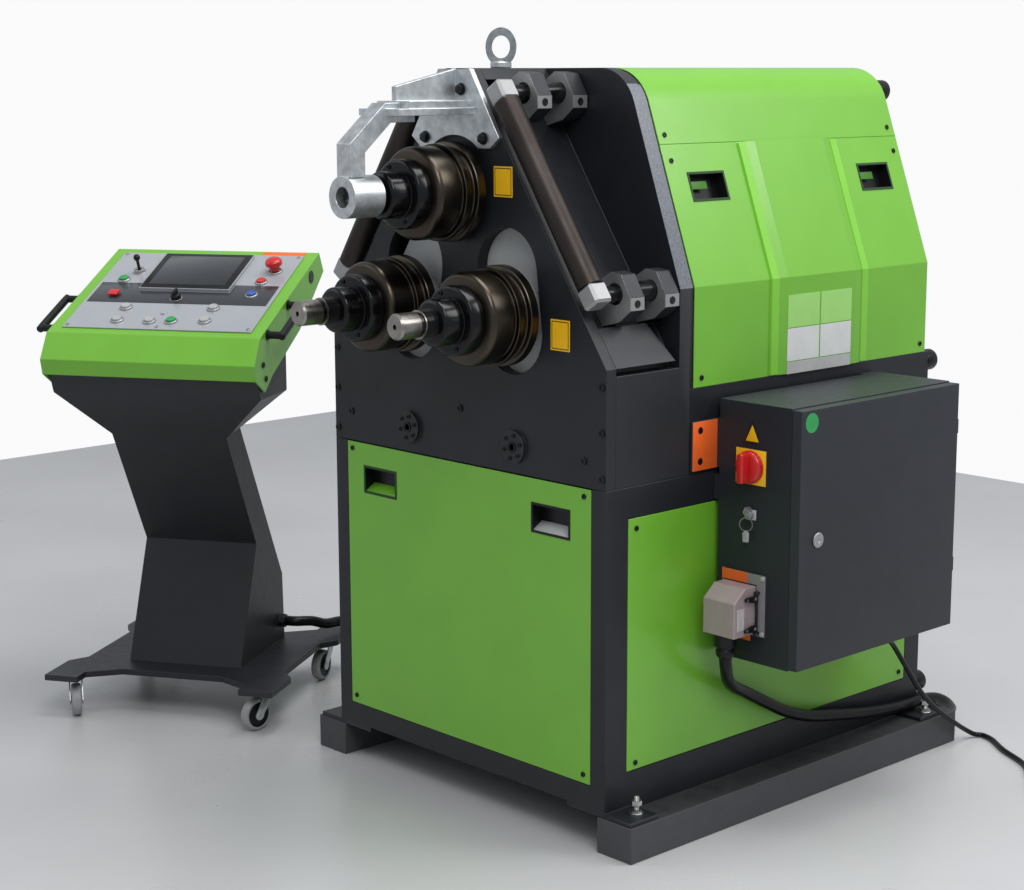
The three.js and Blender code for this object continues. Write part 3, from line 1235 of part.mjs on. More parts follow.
// Builds the object
const bender = new THREE.Group();
const beam = skidBeam();
part(bender, 'skid_beam_right', beam, paintDark);
part(bender, 'skid_beam_left', mirrorX(beam), paintDark);
part(bender, 'base_frame', baseFrame(), paintDark);
part(bender, 'front_cover', frontCoverSheet(), paintGreen);
part(bender, 'side_cover_right', sideCoverSheet(), paintGreen);
part(bender, 'side_cover_left', mirrorX(sideCoverSheet()), paintGreen);
part(bender, 'front_plate', frontPlate(), paintDark);
part(bender, 'upper_frame', upperFrame(), paintDark);
part(bender, 'top_cover', topCover(), paintGreen);
part(bender, 'upper_panel_right', upperPanel(), paintGreen);
part(bender, 'upper_panel_left', mirrorX(upperPanel()), paintGreen);
part(bender, 'rear_cover', rearCover(), paintGreen);
part(bender, 'eye_bolt', eyeBolt(), zinc, [0, eye.y, 0], [0, 0, eyeTurn]);
part(bender, 'outboard_support', outboardSupport(), zinc);
part(bender, 'power_pack', powerPack(), paintGrey);

part(bender, 'upper_shaft', rollShaft(true), darkSteel, [upperAxis.x, 0, upperAxis.z]);
part(bender, 'upper_roll', rollRing(), rollSteel, [upperAxis.x, 0, upperAxis.z]);
for (const [side, sign] of [['left', -1], ['right', 1]]) {
  const place = [sign * lowerAxis.x, 0, lowerAxis.z];
  const body = carriageBody();
  part(bender, `${side}_shaft`, rollShaft(false), darkSteel, place);
  part(bender, `${side}_roll`, rollRing(), rollSteel, place);
  part(bender, `carriage_${side}`, sign > 0 ? body : mirrorX(body), plainSteel, place, [0, -sign * slot.angle, 0]);
  part(bender, `guide_frame_${side}`, guideFrame(), darkSteel, [sign * guide.x, 0, guide.z],
    [0, -sign * slopeAngle, 0]);
}

part(bender, 'cabinet_body', cabinetBody(), cabinetPaint);
part(bender, 'cabinet_door', cabinetDoor(), cabinetPaint, [hinge.x, hinge.y, 0]);
part(bender, 'door_lock', doorLock(), blackPlastic, [0, lock.y, lock.z]);
part(bender, 'main_switch_knob', switchKnob(), redPlastic, [mainSwitch.x, 0, mainSwitch.z]);
part(bender, 'switch_key', switchKey(), plainSteel, [keySwitch.x, 0, keySwitch.z]);
part(bender, 'connector_hood', connectorHood(), greyPlastic);
part(bender, 'connector_lever', connectorLever(), plainSteel, [leverAxis.x, leverAxis.y, 0]);

const stand = new THREE.Group();
stand.position.set(consolePlace.x, consolePlace.y, 0);
stand.rotation.z = consoleTurn;
bender.add(stand);
part(stand, 'console_stand', consoleStand(), paintDark);
part(stand, 'console_head', consoleDesk(), paintGreen);
for (const [name, x, y, turn] of casterPlaces()) {
  const fork = new THREE.Group();
  fork.position.set(x, y, 0);
  fork.rotation.z = turn;
  stand.add(fork);
  part(fork, `caster_fork_${name}`, casterFork(), zinc);
  part(fork, `caster_wheel_${name}`, casterWheel(), rubber, [0, -caster.trail, caster.wheelRadius]);
}

const panel = new THREE.Group();
panel.position.set(0, desk.frontY, desk.frontZ);
panel.rotation.x = panelAngle;
stand.add(panel);
part(panel, 'console_panel', consolePanel(), greyPlastic);
const capFinish = { green_button: greenPlastic, red_button: redPlastic, blue_button: bluePlastic };
for (const [name, place] of Object.entries(roundButtons)) {
  part(panel, name, plainButton(), capFinish[name] ?? whitePlastic, [...place, panelTop]);
}
part(panel, 'stop_square_button', squareButton(), redPlastic, [...squarePlace, panelTop]);
part(panel, 'emergency_stop', stopButton(), redPlastic, [...stopPlace, panelTop]);
part(panel, 'selector_switch', selectorKnob(), blackPlastic, [...selectorPlace, panelTop]);
part(panel, 'joystick', joystickLever(), blackPlastic, [...joystickPlace, panelTop + gap + joystick.pivot]);

// The cables are hung last, because the object's origin is worked out without them
const size = new THREE.Box3().setFromObject(bender);
const wound = coilRoute();
part(bender, 'control_cable', cableAlong(controlRoute(), controlCable), rubber);
part(bender, 'power_cable', cableAlong(powerRoute(wound.into, wound.points[0]), powerCable), rubber);
part(bender, 'power_coil', coilTube(wound.points), rubber);
part(bender, 'power_plug', mainsPlug(), redPlastic, wound.points.at(-1).toArray(),
  [0, 0, Math.atan2(wound.away.y, wound.away.x)]);
console.log(`Least gap of the power coil to itself: ${leastGap(wound.loops).toFixed(2)} mm`);

bender.position.set(-(size.min.x + size.max.x) / 2, -(size.min.y + size.max.y) / 2, -size.min.z);
export default bender;
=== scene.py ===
"""Dresses a three-roll tube bender and its console: finishes, turned parts, fittings, cables and stage."""
import json
import math
from contextlib import contextmanager

import bmesh
import bpy
from mathutils import Matrix, Vector


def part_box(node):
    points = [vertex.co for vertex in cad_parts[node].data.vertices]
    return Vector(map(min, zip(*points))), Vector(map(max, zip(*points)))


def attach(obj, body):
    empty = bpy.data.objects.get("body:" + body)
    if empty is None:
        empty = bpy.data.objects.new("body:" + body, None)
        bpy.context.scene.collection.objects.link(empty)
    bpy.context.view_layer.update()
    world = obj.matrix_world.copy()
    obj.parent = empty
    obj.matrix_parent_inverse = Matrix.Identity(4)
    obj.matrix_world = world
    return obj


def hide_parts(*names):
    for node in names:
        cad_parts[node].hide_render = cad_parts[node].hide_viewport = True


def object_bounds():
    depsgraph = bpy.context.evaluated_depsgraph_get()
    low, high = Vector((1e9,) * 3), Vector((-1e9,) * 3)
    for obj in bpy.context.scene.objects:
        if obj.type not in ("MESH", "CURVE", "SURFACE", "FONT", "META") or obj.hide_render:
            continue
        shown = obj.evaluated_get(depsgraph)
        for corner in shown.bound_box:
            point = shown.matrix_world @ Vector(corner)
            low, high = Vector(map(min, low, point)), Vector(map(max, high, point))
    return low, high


bl_info = {
    "name": "Tube bender dressing",
    "version": (1, 0, 0),
    "blender": (4, 5, 0),
    "location": "View3D > Sidebar > Bender",
    "description": "Finishes and fittings of a three-roll tube bender with its console",
    "category": "Object",
}

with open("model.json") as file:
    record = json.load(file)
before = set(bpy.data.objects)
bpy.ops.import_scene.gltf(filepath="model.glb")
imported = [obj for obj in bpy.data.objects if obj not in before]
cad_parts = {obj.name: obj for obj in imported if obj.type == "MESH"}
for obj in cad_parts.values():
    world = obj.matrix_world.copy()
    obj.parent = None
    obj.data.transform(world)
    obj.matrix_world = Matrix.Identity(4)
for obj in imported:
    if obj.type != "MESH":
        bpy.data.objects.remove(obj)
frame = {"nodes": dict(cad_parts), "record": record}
CAD_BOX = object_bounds()
BODY_OF = {node: body for body, nodes in frame["record"]["behaviour"]["bodies"].items() for node in nodes}
SLOT_OF = {part["node"]: part["material_slot"] for part in frame["record"]["subparts"]}
QUARTER = math.pi / 2
FULL = 2 * math.pi
SIDES = (("left", -1), ("right", 1))


def move(x, y, z):
    """A shift within a frame."""
    return Matrix.Translation((x, y, z))


def turn(angle, axis):
    """A turn about an axis of a frame."""
    return Matrix.Rotation(angle, 4, axis)


# The machine's own frame, in millimetres: x to the right, y back from the front plate's face, z up

MM = 0.001
PLATE_LOW, PLATE_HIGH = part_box("front_plate")
PLATE_THICK = 0.026
SHIFT = Vector(((PLATE_LOW.x + PLATE_HIGH.x) / 2, PLATE_HIGH.y - PLATE_THICK, 0))
MACHINE = Matrix.Translation(SHIFT) @ Matrix.Scale(MM, 4)
OUT_FRONT = Matrix(((1, 0, 0, 0), (0, 0, -1, 0), (0, 1, 0, 0), (0, 0, 0, 1)))
OUT_RIGHT = Matrix(((0, 0, 1, 0), (1, 0, 0, 0), (0, 1, 0, 0), (0, 0, 0, 1)))


def on_front(x, z, y=0):
    """A frame whose z looks out of the machine's front."""
    return MACHINE @ move(x, y, z) @ OUT_FRONT


def on_right(x, y, z):
    """A frame whose z looks out of the machine's right side."""
    return MACHINE @ move(x, y, z) @ OUT_RIGHT


def mirrored(at):
    """The same place on the machine's left side."""
    return MACHINE @ Matrix.Scale(-1, 4, (1, 0, 0)) @ MACHINE.inverted() @ at


# The console's own frame and that of its sloping panel, whose top face is a little above its frame

CONSOLE_PLACE = (-927.5, -55, 0)
CONSOLE_TURN = math.radians(32.2)
PANEL_PLACE = (0, -131, 905)
PANEL_RISE = 157
PANEL_RUN = 387
PANEL_FACE = 3.3
CONSOLE = MACHINE @ move(*CONSOLE_PLACE) @ turn(CONSOLE_TURN, "Z")
PANEL = CONSOLE @ move(*PANEL_PLACE) @ turn(math.atan2(PANEL_RISE, PANEL_RUN), "X")


def on_panel(spot, above=0.0):
    """A frame on the face of the console's panel, whose z looks out of it."""
    return PANEL @ move(*spot, PANEL_FACE + above)


def paint_colour(name, description, default):
    """A colour that the user can set."""
    return bpy.props.FloatVectorProperty(
        name=name, description=description, subtype="COLOR", default=default, min=0, max=1)


class BenderPaint(bpy.types.PropertyGroup):
    """Colours of the painted and plastic finishes."""

    green: paint_colour("Green", "Sheet-metal covers", (0.15, 0.42, 0.026))
    dark: paint_colour("Anthracite", "Frame and plates", (0.0105, 0.012, 0.0155))
    cabinet: paint_colour("Cabinet", "Switch cabinet", (0.017, 0.0195, 0.025))
    orange: paint_colour("Orange", "Brackets and gaskets", (0.8, 0.13, 0.02))
    yellow: paint_colour("Yellow", "Sign plates", (0.9, 0.5, 0.01))
    red: paint_colour("Red", "Stop buttons", (0.55, 0.012, 0.014))


class BenderSizes(bpy.types.PropertyGroup):
    """Sizes that finish the shapes."""

    edge: bpy.props.FloatProperty(
        name="Edge rounding", description="Rounding of sheet-metal edges", default=0.0011,
        min=0, max=0.004, subtype="DISTANCE", unit="LENGTH")
    smooth: bpy.props.FloatProperty(
        name="Smoothing angle", description="Edges below it are shaded smooth", default=math.radians(32),
        subtype="ANGLE")
    sides: bpy.props.IntProperty(
        name="Turning steps", description="Faces round a turned piece", default=96, min=24, max=200)
    screw: bpy.props.FloatProperty(
        name="Cover screw", description="Radius of a cover screw's head", default=0.0052,
        min=0.003, max=0.01, subtype="DISTANCE", unit="LENGTH")


# Finishes: a colour is a name of the user's colours above, or red, green and blue shares

RECIPES = {
    "green_paint": dict(colour="green", rough=0.36, patch=0.03, scale=9, bump=0.06, spread=0.05, coat=0.3),
    # A paler copy of the green paint: a painted highlight along the hood's ribs.
    "bead_green": dict(colour="green", highlight_gain=1.25, rough=0.36, patch=0.03, scale=9, coat=0.3),
    "dark_paint": dict(colour="dark", rough=0.42, patch=0.12, scale=14, bump=0.14, wear=0.5, shine=0.38),
    "cabinet_paint": dict(colour="cabinet", rough=0.46, patch=0.08, scale=12, bump=0.3, bump_scale=1400,
                          wear=0.3, shine=0.38),
    "stand_paint": dict(colour=(0.0125, 0.014, 0.0175), rough=0.42, patch=0.1, scale=20, bump=0.3,
                        bump_scale=1200, wear=0.4, shine=0.36),
    "skid_paint": dict(colour=(0.022, 0.023, 0.026), rough=0.66, patch=0.3, scale=26, bump=0.5,
                       bump_scale=260, wear=0.9),
    "grey_paint": dict(colour=(0.42, 0.43, 0.43), rough=0.45, patch=0.07, scale=16, bump=0.1),
    # A paler grey for the arch's slanting edge: a painted highlight on the same dark paint, where the slope
    # catches the light.
    "edge_paint": dict(colour=(0.15, 0.16, 0.185), rough=0.38, patch=0.3, scale=260, bump=0.2,
                       bump_scale=500),
    "dark_steel": dict(colour=(0.003, 0.003, 0.0035), rough=0.2, patch=0.2, scale=40, bump=0.02,
                       spread=0.03, shine=0.3),
    "roll_steel": dict(colour=(0.07, 0.058, 0.046), rough=0.3, metal=1, patch=0.16, scale=9, spread=0.05),
    "bar_steel": dict(colour=(0.04, 0.032, 0.029), rough=0.42, metal=0.8, patch=0.3, scale=16,
                      grain=(1, 1, 0.2), bump=0.05),
    "machined": dict(colour=(0.37, 0.37, 0.375), rough=0.42, metal=0.7, patch=0.06, grain=(1, 8, 1),
                     bump=0.03, bump_scale=420, spread=0.05),
    "tip_steel": dict(colour=(0.34, 0.32, 0.29), rough=0.3, metal=1, patch=0.2, scale=50, bump=0.08),
    "zinc": dict(colour=(0.58, 0.605, 0.62), rough=0.36, metal=0.88, patch=0.2, scale=60, bump=0.05,
                 bump_scale=400, spread=0.12),
    "screw_steel": dict(colour=(0.03, 0.03, 0.032), rough=0.4, metal=0.8, patch=0.2, scale=90, bump=0.05),
    "bright_screw": dict(colour=(0.5, 0.5, 0.49), rough=0.3, metal=1, patch=0.15, scale=90, bump=0.05),
    "orange_paint": dict(colour="orange", rough=0.4, patch=0.06, bump=0.1),
    "yellow_film": dict(colour="yellow", rough=0.35, patch=0.03, coat=0.2, bump=0.03),
    "black_film": dict(colour=(0.012, 0.012, 0.012), rough=0.4, patch=0.1, bump=0.03),
    "white_film": dict(colour=(0.62, 0.63, 0.62), rough=0.4, patch=0.04, bump=0.03),
    "pale_green_film": dict(colour=(0.32, 0.62, 0.16), rough=0.36, patch=0.03, bump=0.03),
    # A near-black green for the rims of the hand recesses: painted shade where the sheet turns into them.
    "well_green": dict(colour=(0.006, 0.04, 0.003), rough=0.6, patch=0.1),
    # A darker green: painted shade on the latch tabs inside the hood's recesses, and the real green of the
    # earth terminals.
    "tab_green": dict(colour=(0.05, 0.2, 0.012), patch=0.05),
    "silver_film": dict(colour=(0.5, 0.5, 0.5), rough=0.34, metal=0.3, patch=0.06, bump=0.03),
    "gold_film": dict(colour=(0.55, 0.36, 0.13), rough=0.35, metal=0.5, patch=0.08, bump=0.03),
    "panel_plastic": dict(colour=(0.36, 0.37, 0.4), rough=0.24, metal=0.1, patch=0.02, scale=20, coat=0.5,
                          spread=0.03),
    "panel_dark": dict(colour=(0.028, 0.03, 0.036), rough=0.24, patch=0.05, coat=0.4, spread=0.03),
    "screen_glass": dict(colour=(0.012, 0.014, 0.018), rough=0.09, patch=0.1, spread=0.03, coat=0.6),
    "connector_plastic": dict(colour=(0.37, 0.29, 0.3), rough=0.42, metal=0.1, patch=0.05, bump=0.12),
    "flange_grey": dict(colour=(0.25, 0.235, 0.245), rough=0.45, metal=0.2, patch=0.06, scale=40,
                        bump=0.08),
    "black_plastic": dict(colour=(0.006, 0.006, 0.007), rough=0.36, patch=0.15, bump=0.08, shine=0.3),
    "red_plastic": dict(colour="red", rough=0.3, patch=0.08, bump=0.03, coat=0.2),
    "green_plastic": dict(colour=(0.02, 0.3, 0.07), rough=0.3, patch=0.08, bump=0.03),
    "blue_plastic": dict(colour=(0.03, 0.09, 0.36), rough=0.3, patch=0.08, bump=0.03),
    "white_plastic": dict(colour=(0.38, 0.38, 0.38), rough=0.32, patch=0.05, bump=0.03),
    "rubber": dict(colour=(0.004, 0.004, 0.005), rough=0.34, patch=0.2, scale=60, bump=0.05, spread=0.06,
                   shine=0.25),
    "tyre_grey": dict(colour=(0.3, 0.3, 0.31), patch=0.1, scale=60, bump=0.1),
    "floor": dict(colour=(0.5, 0.495, 0.505), rough=0.3, patch=0.06, scale=1.2, bump=0.05, bump_scale=60,
                  spread=0.1),
}
COAT_ROUGHNESS = 0.16
PATCH_ENDS = (0.3, 0.7)
PATCH_DETAIL = 4
GLOSS_SCALE = 3
FINEST_GLOSS = 0.05
RELIEF_DEPTH = 0.0005
RELIEF_DETAIL = 2
EDGE_MASK = (0.53, 0.6)
WORN_GAIN = 2.2
WORN_LIFT = 0.03


def add_node(tree, kind, **values):
    """A shader node with values in its sockets, where an underscore stands for a space in a name."""
    node = tree.nodes.new(f"ShaderNode{kind}")
    for key, value in values.items():
        node.inputs[key.replace("_", " ")].default_value = value
    return node


def mixed(name, colour, rough=0.5, metal=0.0, patch=0.0, scale=30.0, grain=(1, 1, 1), bump=0.0,
          bump_scale=900.0, spread=0.08, coat=0.0, wear=0.0, shine=0.5):
    """A procedural finish: colour patches, worn edges, uneven gloss and a fine relief."""
    material = bpy.data.materials.new(name)
    material.use_nodes = True
    tree = material.node_tree
    join = tree.links.new
    shader = tree.nodes["Principled BSDF"]
    for socket, value in (("Metallic", metal), ("Coat Weight", coat), ("Coat Roughness", COAT_ROUGHNESS),
                          ("Specular IOR Level", shine)):
        shader.inputs[socket].default_value = value
    mapping = add_node(tree, "Mapping", Scale=grain)
    join(add_node(tree, "TexCoord").outputs["Object"], mapping.inputs["Vector"])

    def noise(size, detail):
        node = add_node(tree, "TexNoise", Scale=size, Detail=detail)
        join(mapping.outputs["Vector"], node.inputs["Vector"])
        return node.outputs["Fac"]

    ramp = add_node(tree, "ValToRGB")
    for element, place, factor in zip(ramp.color_ramp.elements, PATCH_ENDS, (1 - patch, 1 + patch)):
        element.position = place
        element.color = (*(min(1, share * factor) for share in colour), 1)
    join(noise(scale, PATCH_DETAIL), ramp.inputs["Fac"])
    top = ramp.outputs["Color"]
    if wear:
        mask = add_node(tree, "MapRange", From_Min=EDGE_MASK[0], From_Max=EDGE_MASK[1], To_Max=wear)
        join(add_node(tree, "NewGeometry").outputs["Pointiness"], mask.inputs["Value"])
        mix = add_node(tree, "Mix")
        mix.data_type = "RGBA"
        mix.inputs["B"].default_value = (*(min(1, share * WORN_GAIN + WORN_LIFT) for share in colour), 1)
        join(mask.outputs["Result"], mix.inputs["Factor"])
        join(top, mix.inputs["A"])
        top = mix.outputs["Result"]
    join(top, shader.inputs["Base Color"])
    gloss = add_node(tree, "MapRange", To_Min=max(FINEST_GLOSS, rough - spread),
                     To_Max=min(1, rough + spread))
    join(noise(scale * GLOSS_SCALE, PATCH_DETAIL), gloss.inputs["Value"])
    join(gloss.outputs["Result"], shader.inputs["Roughness"])
    if bump:
        relief = add_node(tree, "Bump", Strength=bump, Distance=RELIEF_DEPTH)
        join(noise(bump_scale, RELIEF_DETAIL), relief.inputs["Height"])
        join(relief.outputs["Normal"], shader.inputs["Normal"])
    return material


FINISHES = {}


def finish(name):
    """The finish of that name, mixed when it is first asked for."""
    if name not in FINISHES:
        recipe = dict(RECIPES[name])
        colour = recipe.pop("colour")
        # A gain above one makes a paler copy of a colour, which paints in a highlight.
        highlight_gain = recipe.pop("highlight_gain", 1)
        if isinstance(colour, str):
            colour = getattr(bpy.context.scene.bender_paint, colour)
        FINISHES[name] = mixed(name, [share * highlight_gain for share in colour], **recipe)
    return FINISHES[name]


# Shapes

BEVEL = {"profile": 0.5, "affect": "EDGES", "material": -1}
JOIN_WITHIN = 0.0001
JOIN_WITHIN_METRES = 0.000002
JOIN_CAD_METRES = 0.00002
FLAT_WITHIN = math.radians(0.4)
REACH_SHARE = 0.4
CAP_SHARES = ((0, 0.45), (0.5, 0.45), (0.55, 1), (0.88, 1), (1, 0.85), (1, 0), (0, 0))
WASHER = 1.6
WASHER_SHARES = ((0, 1), (1.25, 1), (1.35, 0.75), (1.35, 0), (0, 0))
HEXAGON_SHARE = 1.1
HEXAGON_EDGE = 0.5


def circle(radius, count, start=0.0, middle=(0, 0)):
    """Points round a circle."""
    angles = [start + FULL * i / count for i in range(count)]
    return [(middle[0] + radius * math.cos(a), middle[1] + radius * math.sin(a)) for a in angles]


def rectangle(x0, y0, x1, y1):
    """The outline of a rectangle between two corners."""
    return [(x0, y0), (x1, y0), (x1, y1), (x0, y1)]


def shown(name, data, material):
    """An object in the scene, for a mesh or a curve."""
    data.materials.append(finish(material))
    thing = bpy.data.objects.new(name, data)
    bpy.context.collection.objects.link(thing)
    return thing


def piece(name, bm, material, body="root", slot="dark_paint", replaces=(), frame_at=None, smooth=None):
    """Turns a bmesh into a finished piece that rides on a body."""
    if frame_at is not None:
        bmesh.ops.transform(bm, matrix=frame_at, verts=bm.verts)
    bmesh.ops.remove_doubles(bm, verts=bm.verts, dist=JOIN_WITHIN_METRES)
    bmesh.ops.recalc_face_normals(bm, faces=bm.faces)
    mesh = bpy.data.meshes.new(name)
    bm.to_mesh(mesh)
    bm.free()
    for polygon in mesh.polygons:
        polygon.use_smooth = True
    mesh.set_sharp_from_angle(angle=smooth or bpy.context.scene.bender_sizes.smooth)
    thing = shown(name, mesh, material)
    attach(thing, body)
    if replaces:
        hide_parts(*replaces)
    return thing


@contextmanager
def making(name, material, **extra):
    """Lends an empty bmesh, and makes the piece of that name from it."""
    bm = bmesh.new()
    yield bm
    piece(name, bm, material, **extra)


def place(bm, before, at):
    """Moves the vertices that weren't there before into a frame."""
    if at is not None:
        bmesh.ops.transform(bm, matrix=at, verts=[vert for vert in bm.verts if vert not in before])


def round_edges(bm, verts, offset, segments=2):
    """Bevels every edge of the vertices, and gives the vertices of the bevel."""
    edges = list(dict.fromkeys(edge for vert in verts for edge in vert.link_edges))
    return bmesh.ops.bevel(bm, geom=edges, offset=offset, segments=segments, **BEVEL)["verts"]


def add_block(bm, low, high, round_by=0.8, steps=2, at=None):
    """A box with rounded edges between two corners."""
    low, high = Vector(low), Vector(high)
    before = set(bm.verts)
    made = bmesh.ops.create_cube(bm, size=1)["verts"]
    bmesh.ops.scale(bm, vec=high - low, verts=made)
    bmesh.ops.translate(bm, vec=(low + high) / 2, verts=made)
    if round_by:
        round_edges(bm, made, round_by, steps)
    place(bm, before, at)


def softened(profile, amount=0.8):
    """Cuts the corners of a turned profile, so that every turned edge has a small bevel."""
    points = [profile[0]]
    for before, here, after in zip(profile, profile[1:], profile[2:]):
        a, p, b = Vector(before), Vector(here), Vector(after)
        for other in (a, b):
            reach = min(amount, (other - p).length * REACH_SHARE)
            points.append(tuple(p + (other - p).normalized() * reach))
    return [*points, profile[-1]]


def add_turned(bm, profile, at=None, sides=None, soft=0.0):
    """A solid turned about z from points (radius, height), with its corners softened."""
    before = set(bm.verts)
    points = softened(profile, soft) if soft else profile
    start = [bm.verts.new((radius, 0, height)) for radius, height in points]
    edges = [bm.edges.new(pair) for pair in zip(start, start[1:])]
    bmesh.ops.spin(bm, geom=start + edges, cent=(0, 0, 0), axis=(0, 0, 1), angle=FULL,
                   steps=sides or bpy.context.scene.bender_sizes.sides, use_merge=True)
    made = [vert for vert in bm.verts if vert not in before]
    bmesh.ops.remove_doubles(bm, verts=made, dist=JOIN_WITHIN)
    place(bm, before, at)


def add_disc(bm, radius, low, high, at, sides=None, soft=0.0):
    """A plain disc or rod along z."""
    add_turned(bm, [(0, high), (radius, high), (radius, low), (0, low)], at, sides, soft)


def add_prism(bm, outline, low, high, round_by=0.0, at=None):
    """A prism along z of an outline of (x, y) points."""
    before = set(bm.verts)
    face = bm.faces.new([bm.verts.new((x, y, low)) for x, y in outline])
    made = bmesh.ops.extrude_face_region(bm, geom=[face])["geom"]
    raised = [item for item in made if isinstance(item, bmesh.types.BMVert)]
    bmesh.ops.translate(bm, vec=(0, 0, high - low), verts=raised)
    if round_by:
        round_edges(bm, [vert for vert in bm.verts if vert not in before], round_by)
    place(bm, before, at)


def add_ring(bm, radius, wire, height, wire_sides, steps):
    """A ring of round wire that stands about y, with its middle at a height."""
    section = [bm.verts.new((x, 0, z)) for x, z in circle(wire, wire_sides, middle=(radius, height))]
    bmesh.ops.spin(bm, geom=[bm.faces.new(section)], cent=(0, 0, height), axis=(0, 1, 0), angle=FULL,
                   steps=steps, use_merge=True)
    inner = [face for face in bm.faces if len(face.verts) == wire_sides]
    bmesh.ops.delete(bm, geom=inner, context="FACES_ONLY")


def add_hexagon(bm, radius, low, high):
    """A hexagonal bar along z, whose vertices it gives."""
    made = bmesh.ops.create_cone(bm, cap_ends=True, segments=6, radius1=radius, radius2=radius,
                                 depth=high - low)["verts"]
    bmesh.ops.translate(bm, vec=(0, 0, (low + high) / 2), verts=made)
    return made


def cap_screw(bm, radius, height, at):
    """A round screw head with a socket."""
    add_turned(bm, [(radius * across, height * up) for across, up in CAP_SHARES], at, sides=20)


def hex_head(bm, radius, height, at):
    """A hexagon head on a washer."""
    add_turned(bm, [(radius * across, WASHER * up) for across, up in WASHER_SHARES], at, sides=24)
    made = round_edges(bm, add_hexagon(bm, radius * HEXAGON_SHARE, WASHER, WASHER + height), HEXAGON_EDGE)
    bmesh.ops.transform(bm, matrix=at, verts=made)


def turned_piece(name, material, profile, at, sides=None, soft=0.0, **extra):
    """A piece of one turned solid."""
    with making(name, material, **extra) as bm:
        add_turned(bm, profile, at, sides, soft)


def block_piece(name, material, boxes, at=MACHINE, round_by=0.8, steps=2, **extra):
    """A piece of boxes, each given by two corners."""
    with making(name, material, **extra) as bm:
        for low, high in boxes:
            add_block(bm, low, high, round_by, steps, at)


def prism_piece(name, material, outline, low, high, at, round_by=0.2, **extra):
    """A piece of one flat plate."""
    with making(name, material, **extra) as bm:
        add_prism(bm, outline, low, high, round_by, at)


def screw_piece(name, material, radius, height, places, **extra):
    """A piece of round-headed screws."""
    with making(name, material, **extra) as bm:
        for at in places:
            cap_screw(bm, radius, height, at)


def refined(node, material, round_by=None, angle=None):
    """A copy of a CAD solid with rounded edges and smooth curves, which replaces it."""
    sizes = bpy.context.scene.bender_sizes
    angle = angle or sizes.smooth
    bm = bmesh.new()
    bm.from_mesh(frame["nodes"][node].data)
    bmesh.ops.remove_doubles(bm, verts=bm.verts, dist=JOIN_CAD_METRES)
    bmesh.ops.dissolve_limit(bm, angle_limit=FLAT_WITHIN, verts=bm.verts, edges=bm.edges)
    bmesh.ops.connect_verts_concave(bm, faces=bm.faces)
    thing = piece(f"{node}_finished", bm, material, BODY_OF[node], SLOT_OF[node], [node], smooth=angle)
    bevel = thing.modifiers.new("Edges", "BEVEL")
    bevel.width = sizes.edge if round_by is None else round_by
    bevel.segments = 2
    bevel.limit_method = "ANGLE"
    bevel.angle_limit = angle
    bevel.use_clamp_overlap = False
    flat = thing.modifiers.new("Flat faces", "WEIGHTED_NORMAL")
    flat.weight = 100
    flat.keep_sharp = True
    return thing


# Camera

LENS = 70.27
FAR_CLIP = 60
CAMERA_PLACE = (2954.0, -2610.9, 1475.5)
AZIMUTH = 47.044
LOOKS_DOWN = 10.473
ROLLS = -0.183


class BENDER_OT_camera(bpy.types.Operator):
    """Sets the camera of the photograph."""

    bl_idname = "bender.camera"
    bl_label = "Camera"

    def execute(self, context):
        data = bpy.data.cameras.new("camera")
        data.lens = LENS
        data.clip_end = FAR_CLIP
        camera = bpy.data.objects.new("camera", data)
        context.collection.objects.link(camera)
        look = (turn(math.radians(AZIMUTH), "Z") @ turn(math.radians(90 - LOOKS_DOWN), "X")
                @ turn(math.radians(ROLLS), "Z"))
        camera.matrix_world = Matrix.Translation(MACHINE @ Vector(CAMERA_PLACE)) @ look
        context.scene.camera = camera
        return {"FINISHED"}


# Cables: their routes are in the machine's frame, the control cable's end is in the console's

CONTROL_RADIUS = 12.5
CONTROL_COURSE = [
    (482, 258, 381.7), (482, 258, 356.7),
    (478, 266, 330), (462, 290, 300), (444, 325, 276), (432, 380, 248), (430, 450, 210), (430, 514, 177),
    (430, 590, 150), (430, 678, 132), (430, 780, 114), (428, 873, 102), (425, 940, 96), (424, 1006, 94),
    (425, 1050, 87), (426, 1085, 72), (412, 1130, 45), (380, 1175, 24), (330, 1205, 16), (200, 1228, 13),
    (0, 1235, 13), (-200, 1220, 13), (-370, 1160, 13), (-540, 1050, 13), (-675, 890, 13), (-780, 640, 18),
    (-840, 545, 42), (-862, 500, 70), (-878, 450, 112), (-888, 412, 128), (-896, 375, 130),
    (-891, 332, 134), (-893, 290, 148),
]
CONTROL_ENTRY = (156.3, 248, 152)
CONTROL_LEAD = (25, 0, 0)
MAINS_RADIUS = 5.5
MAINS_COURSE = [
    (505, 742, 322.7), (505, 742, 311.7),
    (501, 758, 298), (495, 784, 282), (494, 834, 224), (494, 893, 154), (494, 949, 104), (495, 1020, 55),
    (494, 1075, 22), (500, 1100, 8), (512, 1112, 6), (540, 1105, 6), (600, 1062, 6), (685, 1013, 6),
    (728, 964, 6),
]
COIL_X = 841.5
COIL_Y = 950
COIL_HEADING = -0.88
COIL_TURNS = 2
COIL_INNER = 54
COIL_PITCH = 11.7
COIL_STEPS = 36
LIES_AT = 6
LEAD = 12
LEAD_IN = 11
TAIL = 110
TAIL_STEPS = 8
PLUG_HEIGHT = 28.5
PLUG_GRIPS = 34
PLUG_PROFILE = [
    (0, 0), (9, 0), (13, 34), (28, 36), (28, 42), (26.5, 43), (26.5, 112), (28, 114), (28, 120), (25, 121),
    (25, 164), (22, 164), (22, 126), (0, 126),
]
PIN_PROFILE = [(0, 161), (2.2, 161), (3, 159), (3, 125), (0, 125)]
PIN_CIRCLE = 12
PINS = 5


def eased(share):
    """A share between 0 and 1 that starts and ends gently."""
    return share * share * (3 - 2 * share)


